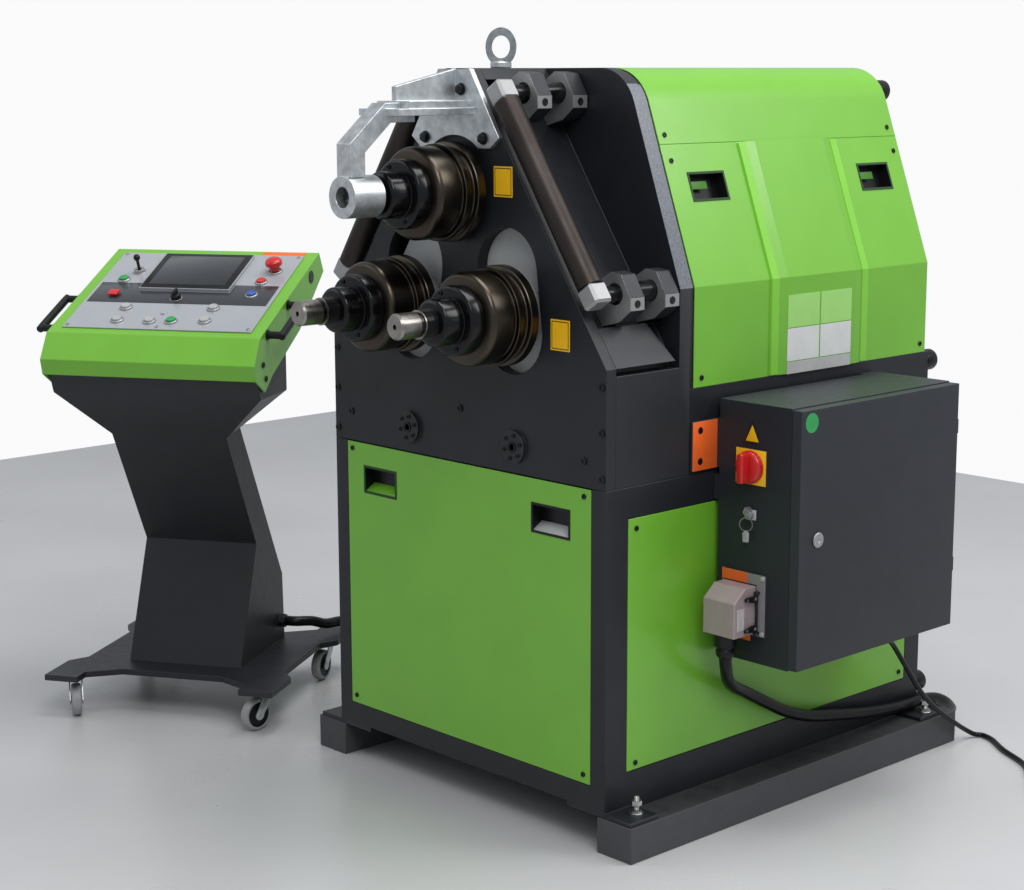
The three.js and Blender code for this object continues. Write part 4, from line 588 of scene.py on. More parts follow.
def smooth_route(points, steps=10):
    """The centripetal Catmull-Rom curve through the points."""
    knots = [Vector(point) for point in points]
    knots = [knots[0] * 2 - knots[1], *knots, knots[-1] * 2 - knots[-2]]
    route = []
    for a, b, c, d in zip(knots, knots[1:], knots[2:], knots[3:]):
        t1, t2, t3 = ((q - p).length ** 0.5 for p, q in ((a, b), (b, c), (c, d)))
        m1 = ((b - a) / t1 - (c - a) / (t1 + t2) + (c - b) / t2) * t2
        m2 = ((c - b) / t2 - (d - b) / (t2 + t3) + (d - c) / t3) * t2
        for i in range(steps):
            t = i / steps
            route.append(b * (2 * t**3 - 3 * t**2 + 1) + m1 * (t**3 - 2 * t**2 + t)
                         + c * (-2 * t**3 + 3 * t**2) + m2 * (t**3 - t**2))
    return [*route, knots[-2]]


def coil_route():
    """The heading into the coil, the heading out of it, and the points of its turns and tail.

    The turns wind inwards, climb onto themselves in the middle and wind outwards again.
    """
    middle = COIL_TURNS + 0.25
    loops = []
    for i in range(round(middle * 2 * COIL_STEPS) + 1):
        t = i / COIL_STEPS
        radius = COIL_INNER + COIL_PITCH * (abs(t - middle) - 0.25)
        rise = eased(min(1, max(0, (t - COIL_TURNS) * 2)))
        angle = COIL_HEADING - QUARTER + FULL * t
        loops.append(Vector((COIL_X + radius * math.cos(angle), COIL_Y + radius * math.sin(angle),
                             LIES_AT + COIL_PITCH * rise)))
    into = (loops[1] - loops[0]).normalized()
    away = Vector((loops[-1].x - loops[-2].x, loops[-1].y - loops[-2].y, 0)).normalized()
    end = loops[-1]
    for i in range(TAIL_STEPS + 1):
        share = i / TAIL_STEPS
        point = end + away * (LEAD + share * TAIL)
        point.z = end.z + (PLUG_HEIGHT - end.z) * eased(share)
        loops.append(point)
    return into, away, [*loops, loops[-1] + away * LEAD]


def cord_curve(name, route, radius, replaces):
    """A round rubber cable along a route, with its points and length in metres."""
    points = [MACHINE @ Vector(point) for point in route]
    curve = bpy.data.curves.new(name, "CURVE")
    curve.dimensions = "3D"
    curve.bevel_depth = radius * MM
    curve.bevel_resolution = 5
    curve.use_fill_caps = True
    spline = curve.splines.new("POLY")
    spline.points.add(len(points) - 1)
    for spot, point in zip(spline.points, points):
        spot.co = (*point, 1)
    thing = shown(name, curve, "rubber")
    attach(thing, "root")
    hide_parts(*replaces)
    return thing, points, sum((b - a).length for a, b in zip(points, points[1:]))


class BENDER_OT_cables(bpy.types.Operator):
    """Lays the control cable and the mains cable with its plug."""

    bl_idname = "bender.cables"
    bl_label = "Cables"

    def execute(self, context):
        console = MACHINE.inverted() @ CONSOLE
        entry = Vector(CONTROL_ENTRY)
        route = smooth_route([*CONTROL_COURSE, console @ (entry + Vector(CONTROL_LEAD)), console @ entry])
        thing, points, length = cord_curve("control_cable_sheath", route, CONTROL_RADIUS,
                                           ["control_cable"])

        into, away, loops = coil_route()
        start = loops[0] - into * LEAD
        route = [*smooth_route([*MAINS_COURSE, start - into * LEAD_IN, start]), *loops,
                 loops[-1] + away * PLUG_GRIPS]
        thing, points, length = cord_curve("mains_cable_sheath", route, MAINS_RADIUS,
                                           ["power_cable", "power_coil"])
        bm = bmesh.new()
        add_turned(bm, PLUG_PROFILE, sides=64, soft=0.8)
        for x, y in circle(PIN_CIRCLE, PINS):
            add_turned(bm, PIN_PROFILE, move(x, y, 0), sides=16)
        look = Matrix.Translation(loops[-1]) @ away.to_track_quat("Z", "Y").to_matrix().to_4x4()
        plug = piece("mains_plug", bm, "red_plastic", slot="red_plastic", replaces=["power_plug"],
                     frame_at=MACHINE @ look)
        return {"FINISHED"}


# Sheet metal and weldments: the hood's side stands upright, then leans in above a bend

SIDE_X = 406
BEND_Z = 1076
RIB_TOP_Z = 1341
LEAN = 0.3566
LEAN_ANGLE = math.atan(LEAN)
ARCH_X = 396
ARCH_FRONT_Y = 198
ARCH_BACK_Y = 242
GENTLE = math.radians(4)
REFINED = {
    "green_paint": ("front_cover", "side_cover_left", "side_cover_right", "top_cover", "upper_panel_left",
                    "upper_panel_right", "rear_cover", "console_head"),
    "dark_paint": ("base_frame", "front_plate", "upper_frame"),
    "skid_paint": ("skid_beam_left", "skid_beam_right"),
    "cabinet_paint": ("cabinet_body", "cabinet_door"),
    "stand_paint": ("console_stand",),
    "grey_paint": ("power_pack", "carriage_left", "carriage_right"),
    "zinc": ("outboard_support",),
    "connector_plastic": ("connector_hood",),
    "panel_plastic": ("console_panel",),
}
SPECIAL = {
    "connector_hood": {"round_by": 0.0016},
    "upper_panel_left": {"angle": GENTLE},
    "upper_panel_right": {"angle": GENTLE},
}


class BENDER_OT_sheet_metal(bpy.types.Operator):
    """Rounds the edges of the welded and folded parts and paints them."""

    bl_idname = "bender.sheet_metal"
    bl_label = "Sheet metal"

    def execute(self, context):
        for material, nodes in REFINED.items():
            for node in nodes:
                thing = refined(node, material, **SPECIAL.get(node, {}))
                # The arch's slanting edge gets a painted highlight.
                if node == "upper_frame":
                    self.light_edge(thing.data)
        return {"FINISHED"}

    def light_edge(self, mesh):
        """Paints the arch's slanting edge faces a paler grey, a painted highlight where the slope catches
        the light.
        """
        mesh.materials.append(finish("edge_paint"))
        for polygon in mesh.polygons:
            side, back, high = (polygon.center - SHIFT) / MM
            slants = abs(polygon.normal.x) > 0.3 and polygon.normal.z > 0.2
            outside = abs(side) > ARCH_X - (high - BEND_Z) * LEAN
            if slants and outside and high > BEND_Z and ARCH_FRONT_Y < back < ARCH_BACK_Y:
                polygon.material_index = 1


# Rolls and shafts: profiles are (radius, distance in front of the plate)

AXES = {"upper": (0, 1253), "left": (-147, 1023), "right": (147, 1023)}
ROLL_PROFILE = [
    (30.6, 16.3), (97.5, 16.3), (97.5, 36), (88, 38.5), (87, 45), (88, 51), (94, 52), (94, 64), (84, 64),
    (84, 72), (90, 73.5), (90, 117), (87.6, 123), (83, 127), (30.6, 127), (30.6, 16.3),
]
PLAIN_TIP = [(0, 278), (4, 278), (5, 290), (21.5, 290), (24.5, 286), (24.5, 236)]
HELD_TIP = [(0, 272), (17, 272), (19.6, 269), (19.6, 217)]
BRIGHT_TIP = [(0, 278), (4, 278), (5, 290.2), (21.5, 290.2), (24.7, 286), (24.7, 245), (24.5, 244)]
BRIGHT_SHOULDER = [(27.3, 234), (27.3, 236), (24.4, 236.3), (24.4, 234)]
THREAD_FRONT = {"upper": 216.7, "left": 236, "right": 236}
THREAD_END = 207
THREAD_RADIUS = 27
THREAD_ROOT = 25.6
THREAD_PITCH = 3
FLANGE_AND_JOURNAL = [
    (THREAD_RADIUS, 206), (THREAD_RADIUS, 205), (38, 205), (43, 202), (45, 199), (45, 159), (62, 159),
    (67, 156), (67, 127.3), (30, 127.3), (30, 16), (45, 16), (45, -236), (0, -236),
]
FLANGE_SCREWS = 4
FLANGE_SCREW = (4.5, 2.5)
FLANGE_SCREW_AT = (56, 0, 159)
FLANGE_TURN = 0.4
NUT_SLOTS = 6
NUT_SLOT = ((44.2, -3.2, 172), (45.8, 3.2, 190))
NUT_TURN = 0.2


class BENDER_OT_rolls(bpy.types.Operator):
    """Turns the three shafts with their nuts and the three roll sets."""

    bl_idname = "bender.rolls"
    bl_label = "Rolls and shafts"

    def execute(self, context):
        for side, (x, z) in AXES.items():
            body = f"{side}_roller"
            at = on_front(x, z)
            turned_piece(f"{side}_roll_turned", "roll_steel", ROLL_PROFILE, at, soft=1.2, body=body,
                         slot="roll_steel", replaces=[f"{side}_roll"])
            with making(f"{side}_shaft_turned", "dark_steel", body=body, slot="dark_steel",
                        replaces=[f"{side}_shaft"]) as bm:
                add_turned(bm, self.shaft_profile(side), at)
                for i in range(FLANGE_SCREWS):
                    spot = turn(FULL * i / FLANGE_SCREWS + FLANGE_TURN, "Z") @ move(*FLANGE_SCREW_AT)
                    cap_screw(bm, *FLANGE_SCREW, at @ spot)
            if side != "upper":
                with making(f"{side}_shaft_tip", "tip_steel", body=body, slot="dark_steel") as bm:
                    add_turned(bm, BRIGHT_TIP, at)
                    add_turned(bm, BRIGHT_SHOULDER, at)
            with making(f"{side}_nut_slots", "screw_steel", body=body, slot="dark_steel") as bm:
                for i in range(NUT_SLOTS):
                    spot = at @ turn(FULL * i / NUT_SLOTS + NUT_TURN, "Z")
                    add_block(bm, *NUT_SLOT, round_by=0.3, steps=1, at=spot)
        return {"FINISHED"}

    def shaft_profile(self, side):
        """A shaft's tip, its thread, and its ring nut, flange and journal."""
        front = THREAD_FRONT[side]
        thread = [(THREAD_RADIUS, front)]
        ridge = front - 2
        while ridge > THREAD_END:
            thread += [(THREAD_RADIUS, ridge), (THREAD_ROOT, ridge - 1), (THREAD_RADIUS, ridge - 2)]
            ridge -= THREAD_PITCH
        tip = HELD_TIP if side == "upper" else PLAIN_TIP
        return [*softened(tip), *thread, *softened(FLANGE_AND_JOURNAL, 1)]


# Guide frames: each bar runs up a slope between two blocks, whose pins slide through two pairs of lugs

GUIDE_X = 366
GUIDE_Z = 1074
GUIDE_SLOPE = math.atan2(370, 550)
GUIDE_LENGTH = 368.5 / math.cos(GUIDE_SLOPE)
BAR_RADIUS = 25
BAR_ENDS_SHORT = 20
BAR_BACK = 8.5
BLOCK_LOW = Vector((-21, -13, -21))
BLOCK_HIGH = Vector((21, 30, 21))
GUIDE_PIN = [(0, 29), (16, 29), (16, 60), (20, 60), (20, 225), (0, 225)]
LUG_OUTLINE = [(40, -30), (40, -4), (16, 37), (-11, 41), (-34, 27), (-71, -9), (-34, -64), (12, -52)]
LUG_DEPTHS = ((62, 100), (157, 196))
LUG_NOSE = 40
LUG_HOLE = 20.8
LUG_SKIN = 0.4
NOSE_SKIN = 0.6
NOSE_LOW = -29
NOSE_HIGH = -5
LUG_SCREW = (7.5, 1)
LUG_SCREW_Z = -17


class BENDER_OT_guides(bpy.types.Operator):
    """Makes the two guide frames with their bars, blocks and lugs."""

    bl_idname = "bender.guides"
    bl_label = "Guide frames"

    def execute(self, context):
        for side, sign in SIDES:
            carried = {"body": f"guide_{side}", "slot": "dark_steel"}
            at = MACHINE @ move(sign * GUIDE_X, 0, GUIDE_Z) @ turn(-sign * GUIDE_SLOPE, "Y")
            with making(f"guide_bar_{side}", "bar_steel", replaces=[f"guide_frame_{side}"],
                        **carried) as bm:
                add_disc(bm, BAR_RADIUS, BAR_ENDS_SHORT, GUIDE_LENGTH - BAR_ENDS_SHORT,
                         at @ move(0, BAR_BACK, 0))
            ends = [Vector((0, 0, high)) for high in (0, GUIDE_LENGTH)]
            block_piece(f"guide_blocks_{side}", "machined",
                        [(BLOCK_LOW + end, BLOCK_HIGH + end) for end in ends], at, 5, 1, **carried)
            with making(f"guide_pins_{side}", "dark_steel", **carried) as bm:
                for end in ends:
                    add_turned(bm, GUIDE_PIN, at @ move(*end) @ OUT_FRONT.inverted(), sides=64, soft=0.8)
            self.lugs(side, sign)
        return {"FINISHED"}

    def lugs(self, side, sign):
        """The machined faces and noses of a side's lugs, and their screws."""
        outline = [(sign * x, z) for x, z in LUG_OUTLINE]
        screws = []
        with making(f"guide_lug_faces_{side}", "machined") as bm:
            for reach in (0, GUIDE_LENGTH):
                x = GUIDE_X - math.sin(GUIDE_SLOPE) * reach
                z = GUIDE_Z + math.cos(GUIDE_SLOPE) * reach
                nose = sign * (x + LUG_NOSE)
                low, high = sorted((nose, nose + sign * NOSE_SKIN))
                for front, back in LUG_DEPTHS:
                    add_block(bm, (low, front + LUG_SKIN, z + NOSE_LOW),
                              (high, back - LUG_SKIN, z + NOSE_HIGH), round_by=0.2, steps=1, at=MACHINE)
                    self.lug_face(bm, outline, on_front(sign * x, z, front))
                    spot = on_right(x + LUG_NOSE + NOSE_SKIN, (front + back) / 2, z + LUG_SCREW_Z)
                    screws.append(spot if sign > 0 else mirrored(spot))
        screw_piece(f"guide_lug_screws_{side}", "screw_steel", *LUG_SCREW, screws)

    def lug_face(self, bm, outline, at):
        """A machined face with a round hole, on the front of a lug."""
        before = set(bm.verts)
        edges = []
        for points in (outline, circle(LUG_HOLE, 48)):
            verts = [bm.verts.new((x, y, LUG_SKIN)) for x, y in points]
            edges += [bm.edges.new(pair) for pair in zip(verts, verts[1:] + verts[:1])]
        made = bmesh.ops.triangle_fill(bm, edges=edges, use_beauty=True)["geom"]
        faces = [item for item in made if isinstance(item, bmesh.types.BMFace)]
        made = bmesh.ops.extrude_face_region(bm, geom=faces)["geom"]
        raised = [item for item in made if isinstance(item, bmesh.types.BMVert)]
        bmesh.ops.translate(bm, vec=(0, 0, -LUG_SKIN), verts=raised)
        place(bm, before, at)


# Front plate: screws, pivot flanges, sign plates, bearing rings, lifting eye and support bolts

PLATE_SCREWS = ((-350, 774.5), (-2, 822), (348, 763), (394.5, 907), (395, 821), (396, 734), (-395, 907),
                (-395, 821), (-396, 734))
PLATE_SCREW = (7.5, 3)
PIVOT_X = 157.5
PIVOT_Y = -8
PIVOT_Z = 765
PIVOT_CIRCLE = 23
PIVOT_SCREWS = 6
PIVOT_SCREW = (4, 3)
PIVOT_CENTRE = [(0, 0), (7, 0), (8, 2), (11, 2), (11, 0)]
AXIS_PLATES = ((101.7, 154, 1246.6, 1305), (258.7, 310, 965, 1024))
BORDER_FROM = 3
BORDER_TO = 4.6
BEARING_X = 147
BEARING_Z = 1023
BEARING_TILT = math.radians(7.5)
BEARING_RING = [(45.6, 1), (64, 1), (66.2, -1), (66.2, -25)]
BEARING_SCREWS = 8
BEARING_SCREW = (3.6, 2)
BEARING_CIRCLE = 56
BEARING_SCREW_Z = 0.9
EYE_Y = 113
EYE_Z = 1531
EYE_TURN = math.radians(11)
EYE_RADIUS = 30
EYE_WIRE = 8
EYE_SHANK = [
    (0, 1506), (9, 1504), (14, 1502.4), (21, 1502), (21, 1490.3), (8, 1490.3), (8, 1475), (0, 1475),
]
SUPPORT_BOLTS = ((22, 1450), (-22, 1450), (85, 1357), (-85, 1357))
SUPPORT_BOLT = (9, 7)
SUPPORT_FACE_Y = -12


class BENDER_OT_front_fittings(bpy.types.Operator):
    """Adds the bolts, bearing rings, sign plates and lifting eye of the front plate."""

    bl_idname = "bender.front_fittings"
    bl_label = "Front plate fittings"

    def execute(self, context):
        pivots = [on_front(sign * PIVOT_X, PIVOT_Z, PIVOT_Y) for _, sign in SIDES]
        with making("plate_screws", "screw_steel") as bm:
            for x, z in PLATE_SCREWS:
                cap_screw(bm, *PLATE_SCREW, on_front(x, z))
            for at in pivots:
                for x, y in circle(PIVOT_CIRCLE, PIVOT_SCREWS, 0.3):
                    cap_screw(bm, *PIVOT_SCREW, at @ move(x, y, 0))
        with making("pivot_centres", "dark_steel") as bm:
            for at in pivots:
                add_turned(bm, PIVOT_CENTRE, at, sides=40, soft=0.4)
        self.sign_plates()
        for side, sign in SIDES:
            at = (MACHINE @ move(sign * BEARING_X, 0, BEARING_Z) @ turn(sign * -BEARING_TILT, "Y")
                  @ OUT_FRONT)
            carried = {"body": f"carriage_{side}_body", "slot": "plain_steel"}
            turned_piece(f"bearing_ring_{side}", "grey_paint", BEARING_RING, at, soft=0.5, **carried)
            spots = [at @ move(x, y, BEARING_SCREW_Z)
                     for x, y in circle(BEARING_CIRCLE, BEARING_SCREWS, 0.2)]
            screw_piece(f"bearing_screws_{side}", "screw_steel", *BEARING_SCREW, spots, **carried)
        with making("lifting_eye", "zinc", slot="zinc", replaces=["eye_bolt"],
                    frame_at=MACHINE @ move(0, EYE_Y, 0) @ turn(EYE_TURN, "Z")) as bm:
            add_ring(bm, EYE_RADIUS, EYE_WIRE, EYE_Z, wire_sides=24, steps=64)
            add_turned(bm, EYE_SHANK, sides=48, soft=1.5)
        with making("support_bolts", "screw_steel", slot="zinc") as bm:
            for x, z in SUPPORT_BOLTS:
                hex_head(bm, *SUPPORT_BOLT, on_front(x, z, SUPPORT_FACE_Y))
        return {"FINISHED"}

    def sign_plates(self):
        """Two bare yellow plates, each with a thin black border."""
        borders = []
        for x0, x1, z0, z1 in AXIS_PLATES:
            left, right = x0 + BORDER_FROM, x1 - BORDER_FROM
            low, high = z0 + BORDER_FROM, z1 - BORDER_FROM
            borders += [(left, right, low, z0 + BORDER_TO), (left, right, z1 - BORDER_TO, high),
                        (left, x0 + BORDER_TO, low, high), (x1 - BORDER_TO, right, low, high)]
        for name, material, places, front, back, round_by in (
                ("axis_plates", "yellow_film", AXIS_PLATES, -0.9, 0, 0.2),
                ("axis_plate_borders", "black_film", borders, -1.1, -0.8, 0)):
            block_piece(name, material, [((x0, front, z0), (x1, back, z1)) for x0, x1, z0, z1 in places],
                        round_by=round_by, steps=1)


# Hood and covers: a middle panel stands out between two folded ribs, and hand recesses are cut in

PANEL_FOLD = 6
PANEL_FRONT_Y = 464
PANEL_FRONT_RAMP = 49
PANEL_BACK_Y = 777
PANEL_BACK_RAMP = 45
HOOD_SCREWS = ((260, 1362), (967, 1363), (261, 1313), (969, 1313), (262, 900), (971, 901))
SIDE_SCREWS = ((83, 630), (85, 164), (933, 169), (933, 630))
FRONT_SCREWS = ((-349, 695), (349, 695), (-349, 146), (349, 146))
COVER_SCREW_HEIGHT = 2.6
MIDDLE_PANEL_X = 412.1
BARE_PLATES = (
    ("bare_white_plates", "white_film", 0.6, ((513, 614, 907, 973), (618, 719, 907, 973))),
    ("bare_green_plates", "pale_green_film", 0.6, ((513, 614, 975, 1041), (618, 719, 975, 1041))),
    ("bare_silver_strip", "silver_film", 0.5, ((513, 719, 881, 905),)),
)
BUFFERS = ((384, 1006, 124), (-384, 1006, 124), (384, 1006, 858), (-384, 1006, 858), (236, 1004, 1440),
           (-236, 1004, 1440))
BUFFER_PROFILE = [(0, 36), (20, 36), (23, 33), (23.2, 2), (22.2, 0)]
STUDS = ((443.5, 50), (455.5, 968))
STUD_Z = 79.3
STUD_TIP = [(0, 36), (4.5, 36)]
STUD_RIDGE = ((6.1, 33), (5.4, 31.7))
STUD_RIDGES = 12
STUD_PITCH = 2.6
STUD_FOOT = (6, 0)
STUD_NUT = 11
STUD_NUTS = ((18, 27), (3.2, 8.2))
STUD_WASHER = [(0, 3.4), (14.4, 3.4), (14.4, 0)]
RIBS = ((463, 489), (778, 754))
RIB_HEIGHT = 4.6
RIB_FLANK = 2
RIB_BELOW = -1.5
RIB_FOOT_Z = 884
RIB_SMOOTH = math.radians(10)
ACROSS = Matrix(((0, 0, 1, 0), (1, 0, 0, 0), (0, -1, 0, 0), (0, 0, 0, 1)))
# Black floor and walls inside each hand recess, which paint in the shade there.
RECESS_SHADE_FLOOR = (((-50.6, -26.6, -25.9), (50.6, 26.6, -25.3)),)
RECESS_SHADE_WALLS = (((-50.6, -26.9, -25.9), (50.6, -26.2, -1)), ((-50.6, 26.2, -25.9), (50.6, 26.9, -1)),
               ((-50.9, -26.6, -25.9), (-50.2, 26.6, -1)), ((50.2, -26.6, -25.9), (50.9, 26.6, -1)))
RIM = (((-54, -30, 0), (54, -25, 1.2)), ((-54, 25, 0), (54, 30, 1.2)),
       ((-54, -25, 0), (-49, 25, 1.2)), ((49, -25, 0), (54, 25, 1.2)))
SLOPING_FLOOR = [(-25.8, 2), (-24.6, 2), (-10, 25), (-25.8, 25)]
FLOOR_HALF = 49.8
LATCH_TAB = ((-49.8, -2, -15), (10, 14, -12))


def on_hood(y, z):
    """A frame on the hood's right side, whose z looks out of the sheet."""
    if z <= BEND_Z:
        return on_right(SIDE_X, y, z)
    up = max(0, min(1, (y - PANEL_FRONT_Y) / PANEL_FRONT_RAMP, (PANEL_BACK_Y - y) / PANEL_BACK_RAMP))
    return (MACHINE @ move(SIDE_X - (z - BEND_Z) * LEAN, y, z) @ turn(-LEAN_ANGLE, "Y") @ OUT_RIGHT
            @ move(0, 0, PANEL_FOLD * up))


class BENDER_OT_hood_fittings(bpy.types.Operator):
    """Adds the hood's screws, recesses and bare plates, the covers' screws, the buffers and the studs."""

    bl_idname = "bender.hood_fittings"
    bl_label = "Hood and cover fittings"

    def execute(self, context):
        places = [on_hood(y, z) for y, z in HOOD_SCREWS] + [on_right(SIDE_X, y, z) for y, z in SIDE_SCREWS]
        places = [spot for at in places for spot in (at, mirrored(at))]
        places += [on_front(x, z) for x, z in FRONT_SCREWS]
        radius = context.scene.bender_sizes.screw / MM
        screw_piece("cover_screws", "screw_steel", radius, COVER_SCREW_HEIGHT, places, slot="green_paint")
        self.recesses()
        self.ribs()
        for name, material, thick, plates in BARE_PLATES:
            boxes = [((MIDDLE_PANEL_X, y0, z0), (MIDDLE_PANEL_X + thick, y1, z1))
                     for y0, y1, z0, z1 in plates]
            block_piece(name, material, boxes, round_by=0.15, steps=1, slot="green_paint")
        with making("rear_buffer_sleeves", "rubber") as bm:
            for spot in BUFFERS:
                at = MACHINE @ move(*spot) @ turn(-QUARTER, "X")
                add_turned(bm, BUFFER_PROFILE, at, sides=48, soft=0.8)
        with making("levelling_studs", "bright_screw") as bm:
            for _, sign in SIDES:
                for x, y in STUDS:
                    self.stud(bm, MACHINE @ move(sign * x, y, STUD_Z))
        return {"FINISHED"}

    def stud(self, bm, at):
        """A levelling stud with two nuts and a washer."""
        ridges = [(radius, high - i * STUD_PITCH)
                  for i in range(STUD_RIDGES) for radius, high in STUD_RIDGE]
        add_turned(bm, [*STUD_TIP, *ridges, STUD_FOOT], at, sides=24)
        for low, high in STUD_NUTS:
            bmesh.ops.transform(bm, matrix=at, verts=add_hexagon(bm, STUD_NUT, low, high))
        add_turned(bm, STUD_WASHER, at, sides=32, soft=0.5)

    def ribs(self):
        """Runs the folded ribs beside the hood's middle panel, over its bend."""
        right = bmesh.new()
        for near, far in RIBS:
            flank = math.copysign(RIB_FLANK, far - near)
            section = [(near, RIB_BELOW), (near + flank, RIB_HEIGHT), (far - flank, RIB_HEIGHT), (far, 1)]
            face = right.faces.new([right.verts.new((SIDE_X + out, y, RIB_FOOT_Z)) for y, out in section])
            for at_bend in (True, False):
                made = bmesh.ops.extrude_face_region(right, geom=[face])["geom"]
                face = next(item for item in made if isinstance(item, bmesh.types.BMFace))
                for vert in face.verts:
                    out = vert.co.x - SIDE_X
                    if at_bend:
                        vert.co.z = BEND_Z + out * math.tan(LEAN_ANGLE / 2)
                    else:
                        vert.co.x -= (RIB_TOP_Z - BEND_Z) * LEAN + out * (1 - math.cos(LEAN_ANGLE))
                        vert.co.z = RIB_TOP_Z + out * math.sin(LEAN_ANGLE)
        left = right.copy()
        bmesh.ops.scale(left, vec=(-1, 1, 1), verts=left.verts)
        # The ribs take the paler green, a painted highlight along them.
        for side, bm in (("right", right), ("left", left)):
            piece(f"hood_ribs_{side}", bm, "bead_green", slot="green_paint", smooth=RIB_SMOOTH,
                  frame_at=MACHINE)

    def recesses(self):
        """Lines the hand recesses: black walls that paint in the shade inside them, a rim, and a sloping
        floor or a latch tab; the front-left and hood rims and the hood's latch tabs take darker greens as
        painted shade.
        """
        # The near-black green rims and the darker green latch tabs are painted shade in the recesses.
        kinds = [("front_left", on_front(-258, 633), "well_green", "green_paint", True),
                 ("front_right", on_front(258, 633), "black_plastic", "grey_paint", True),
                 ("hood_front", on_hood(350, 1262), "well_green", "tab_green", False),
                 ("hood_rear", on_hood(882, 1262), "well_green", "tab_green", False)]
        kinds += [(f"{kind[0]}_mirrored", mirrored(kind[1]), *kind[2:]) for kind in kinds[2:]]
        for name, at, rim_finish, tab_finish, sloping in kinds:
            # Black walls and floor in each recess: painted shade.
            with making(f"recess_liner_{name}", "black_plastic", slot="green_paint") as bm:
                for boxes, round_by in ((RECESS_SHADE_FLOOR, 0.2), (RECESS_SHADE_WALLS, 0.1)):
                    for low, high in boxes:
                        add_block(bm, low, high, round_by, 1, at)
            block_piece(f"recess_rim_{name}", rim_finish, RIM, at, 0.3, 1, slot="green_paint")
            tab = {"name": f"recess_tab_{name}", "material": tab_finish, "slot": "green_paint"}
            if sloping:
                prism_piece(outline=SLOPING_FLOOR, low=-FLOOR_HALF, high=FLOOR_HALF, at=at @ ACROSS,
                            round_by=0.3, **tab)
            else:
                block_piece(boxes=[LATCH_TAB], at=at, **tab)


# Switch cabinet: its side with the switch looks forward, its door looks to the right

CABINET_Y = 304
BRACKET_X = 412.3
SIGN_BORDER = [(478, 777), (526, 777), (502, 825.5)]
SIGN_PLATE = [(486, 782), (518, 782), (502, 814)]
SWITCH_PLATE = rectangle(465.7, 698.6, 540.3, 767.4)
KEY_PLATE = rectangle(488.6, 629, 517.4, 649)
GASKET = rectangle(433, 386, 506, 523)
BRACKET = rectangle(232.4, 719.4, 303.4, 815.6)
BRACKET_HOLE_Y = 254
BRACKET_HOLE_ZS = (737, 798)
SWITCH_X = 503
SWITCH_Z = 733
KNOB_Y = 299.7
KNOB_PROFILE = [(0, 14), (26, 14), (31, 10), (32, 4), (32, 0), (5, 0), (5, -20), (0, -20)]
KNOB_RIB = ((31, -1.2, 1), (32.6, 1.2, 9))
KNOB_RIBS = 24
KNOB_GRIP = ((-8, -29, 13), (8, 29, 36))
KEY_Y = 291.7
KEY_Z = 639
KEY_HEAD = [(-12, 4), (12, 4), (12, 10), (7, 16), (-7, 16), (-12, 10)]
KEY_BARREL = [(0, 12.4), (3.4, 12.4), (3.6, 12.2), (9, 12.2), (9.4, 10), (9.4, 0)]
KEY_RING = MACHINE @ move(503, 288, 621) @ turn(0.4, "Z")
KEY_RING_RADIUS = 13
KEY_RING_WIRE = 0.9
KEY_TAG = [(-6, -34), (6, -34), (7, -16), (0, -10), (-7, -16)]
DOOR_X = 625
LOCK_PLACE = (DOOR_X, 355, 600)
LOCK_PROFILE = [
    (0, 2.6), (4, 2.6), (5, 4.2), (13, 4.2), (15, 3), (15, 0.3), (12, 0.3), (12, -6), (6, -6), (6, -31),
    (0, -31),
]
LOCK_TONGUE = ((-7, -40, -33.6), (7, 7, -30.6))
DOT_PLACE = (DOOR_X, 330, 830)
DOT_PROFILE = [(0, 0.6), (19, 0.6), (19, 0)]
DOOR_SEAL = (((599, 306, 850), (602, 800, 853)), ((599, 306, 350), (602, 800, 353)),
             ((599, 303, 350), (602, 306, 853)), ((599, 800, 350), (602, 803, 853)))
FLANGE_BARS = (((435.2, 299.2, 502), (544.8, 300, 522.8)), ((435.2, 299.2, 400.2), (544.8, 300, 403)),
               ((435.2, 299.2, 403), (440, 300, 502)), ((523, 299.2, 403), (544.8, 300, 502)))
FLANGE_SEAL = ((435.4, 298.5, 502.2), (499, 299.3, 522.6))
CONNECTOR_SCREWS = ((441, 406), (539, 406), (539, 517))
CONNECTOR_SCREW = (4.5, 3.2)
CONNECTOR_FACE_Y = 299.4
LEVER_Z = 447
LEVER_ARM = [
    (262, 475), (262, 481), (270, 482.5), (288, 482.5), (292, 490), (297.6, 490), (297.6, 470), (284, 470),
]
LEVER_ARM_X = 524.7
LEVER_ARM_THICK = 4.6
LEVER_PINS = [(y, z) for z in (477, 417) for y in (268, 291)]
LEVER_PIN_X = 529.2
LEVER_ROD_PLACE = (527, 296, LEVER_Z)
LEVER_ROD_REACH = 43
CONNECTOR_RIBS = [((521.8, 245 + i * 3.6, 418), (522.8, 246.5 + i * 3.6, 462)) for i in range(6)]
GLAND_PLACE = (482, 258, 404)
GLAND_PROFILE = [
    (12.8, -1), (22, -1), (22, -24), (17, -25), (17, -30), (19, -31), (19, -42), (14, -48), (12.8, -48),
]


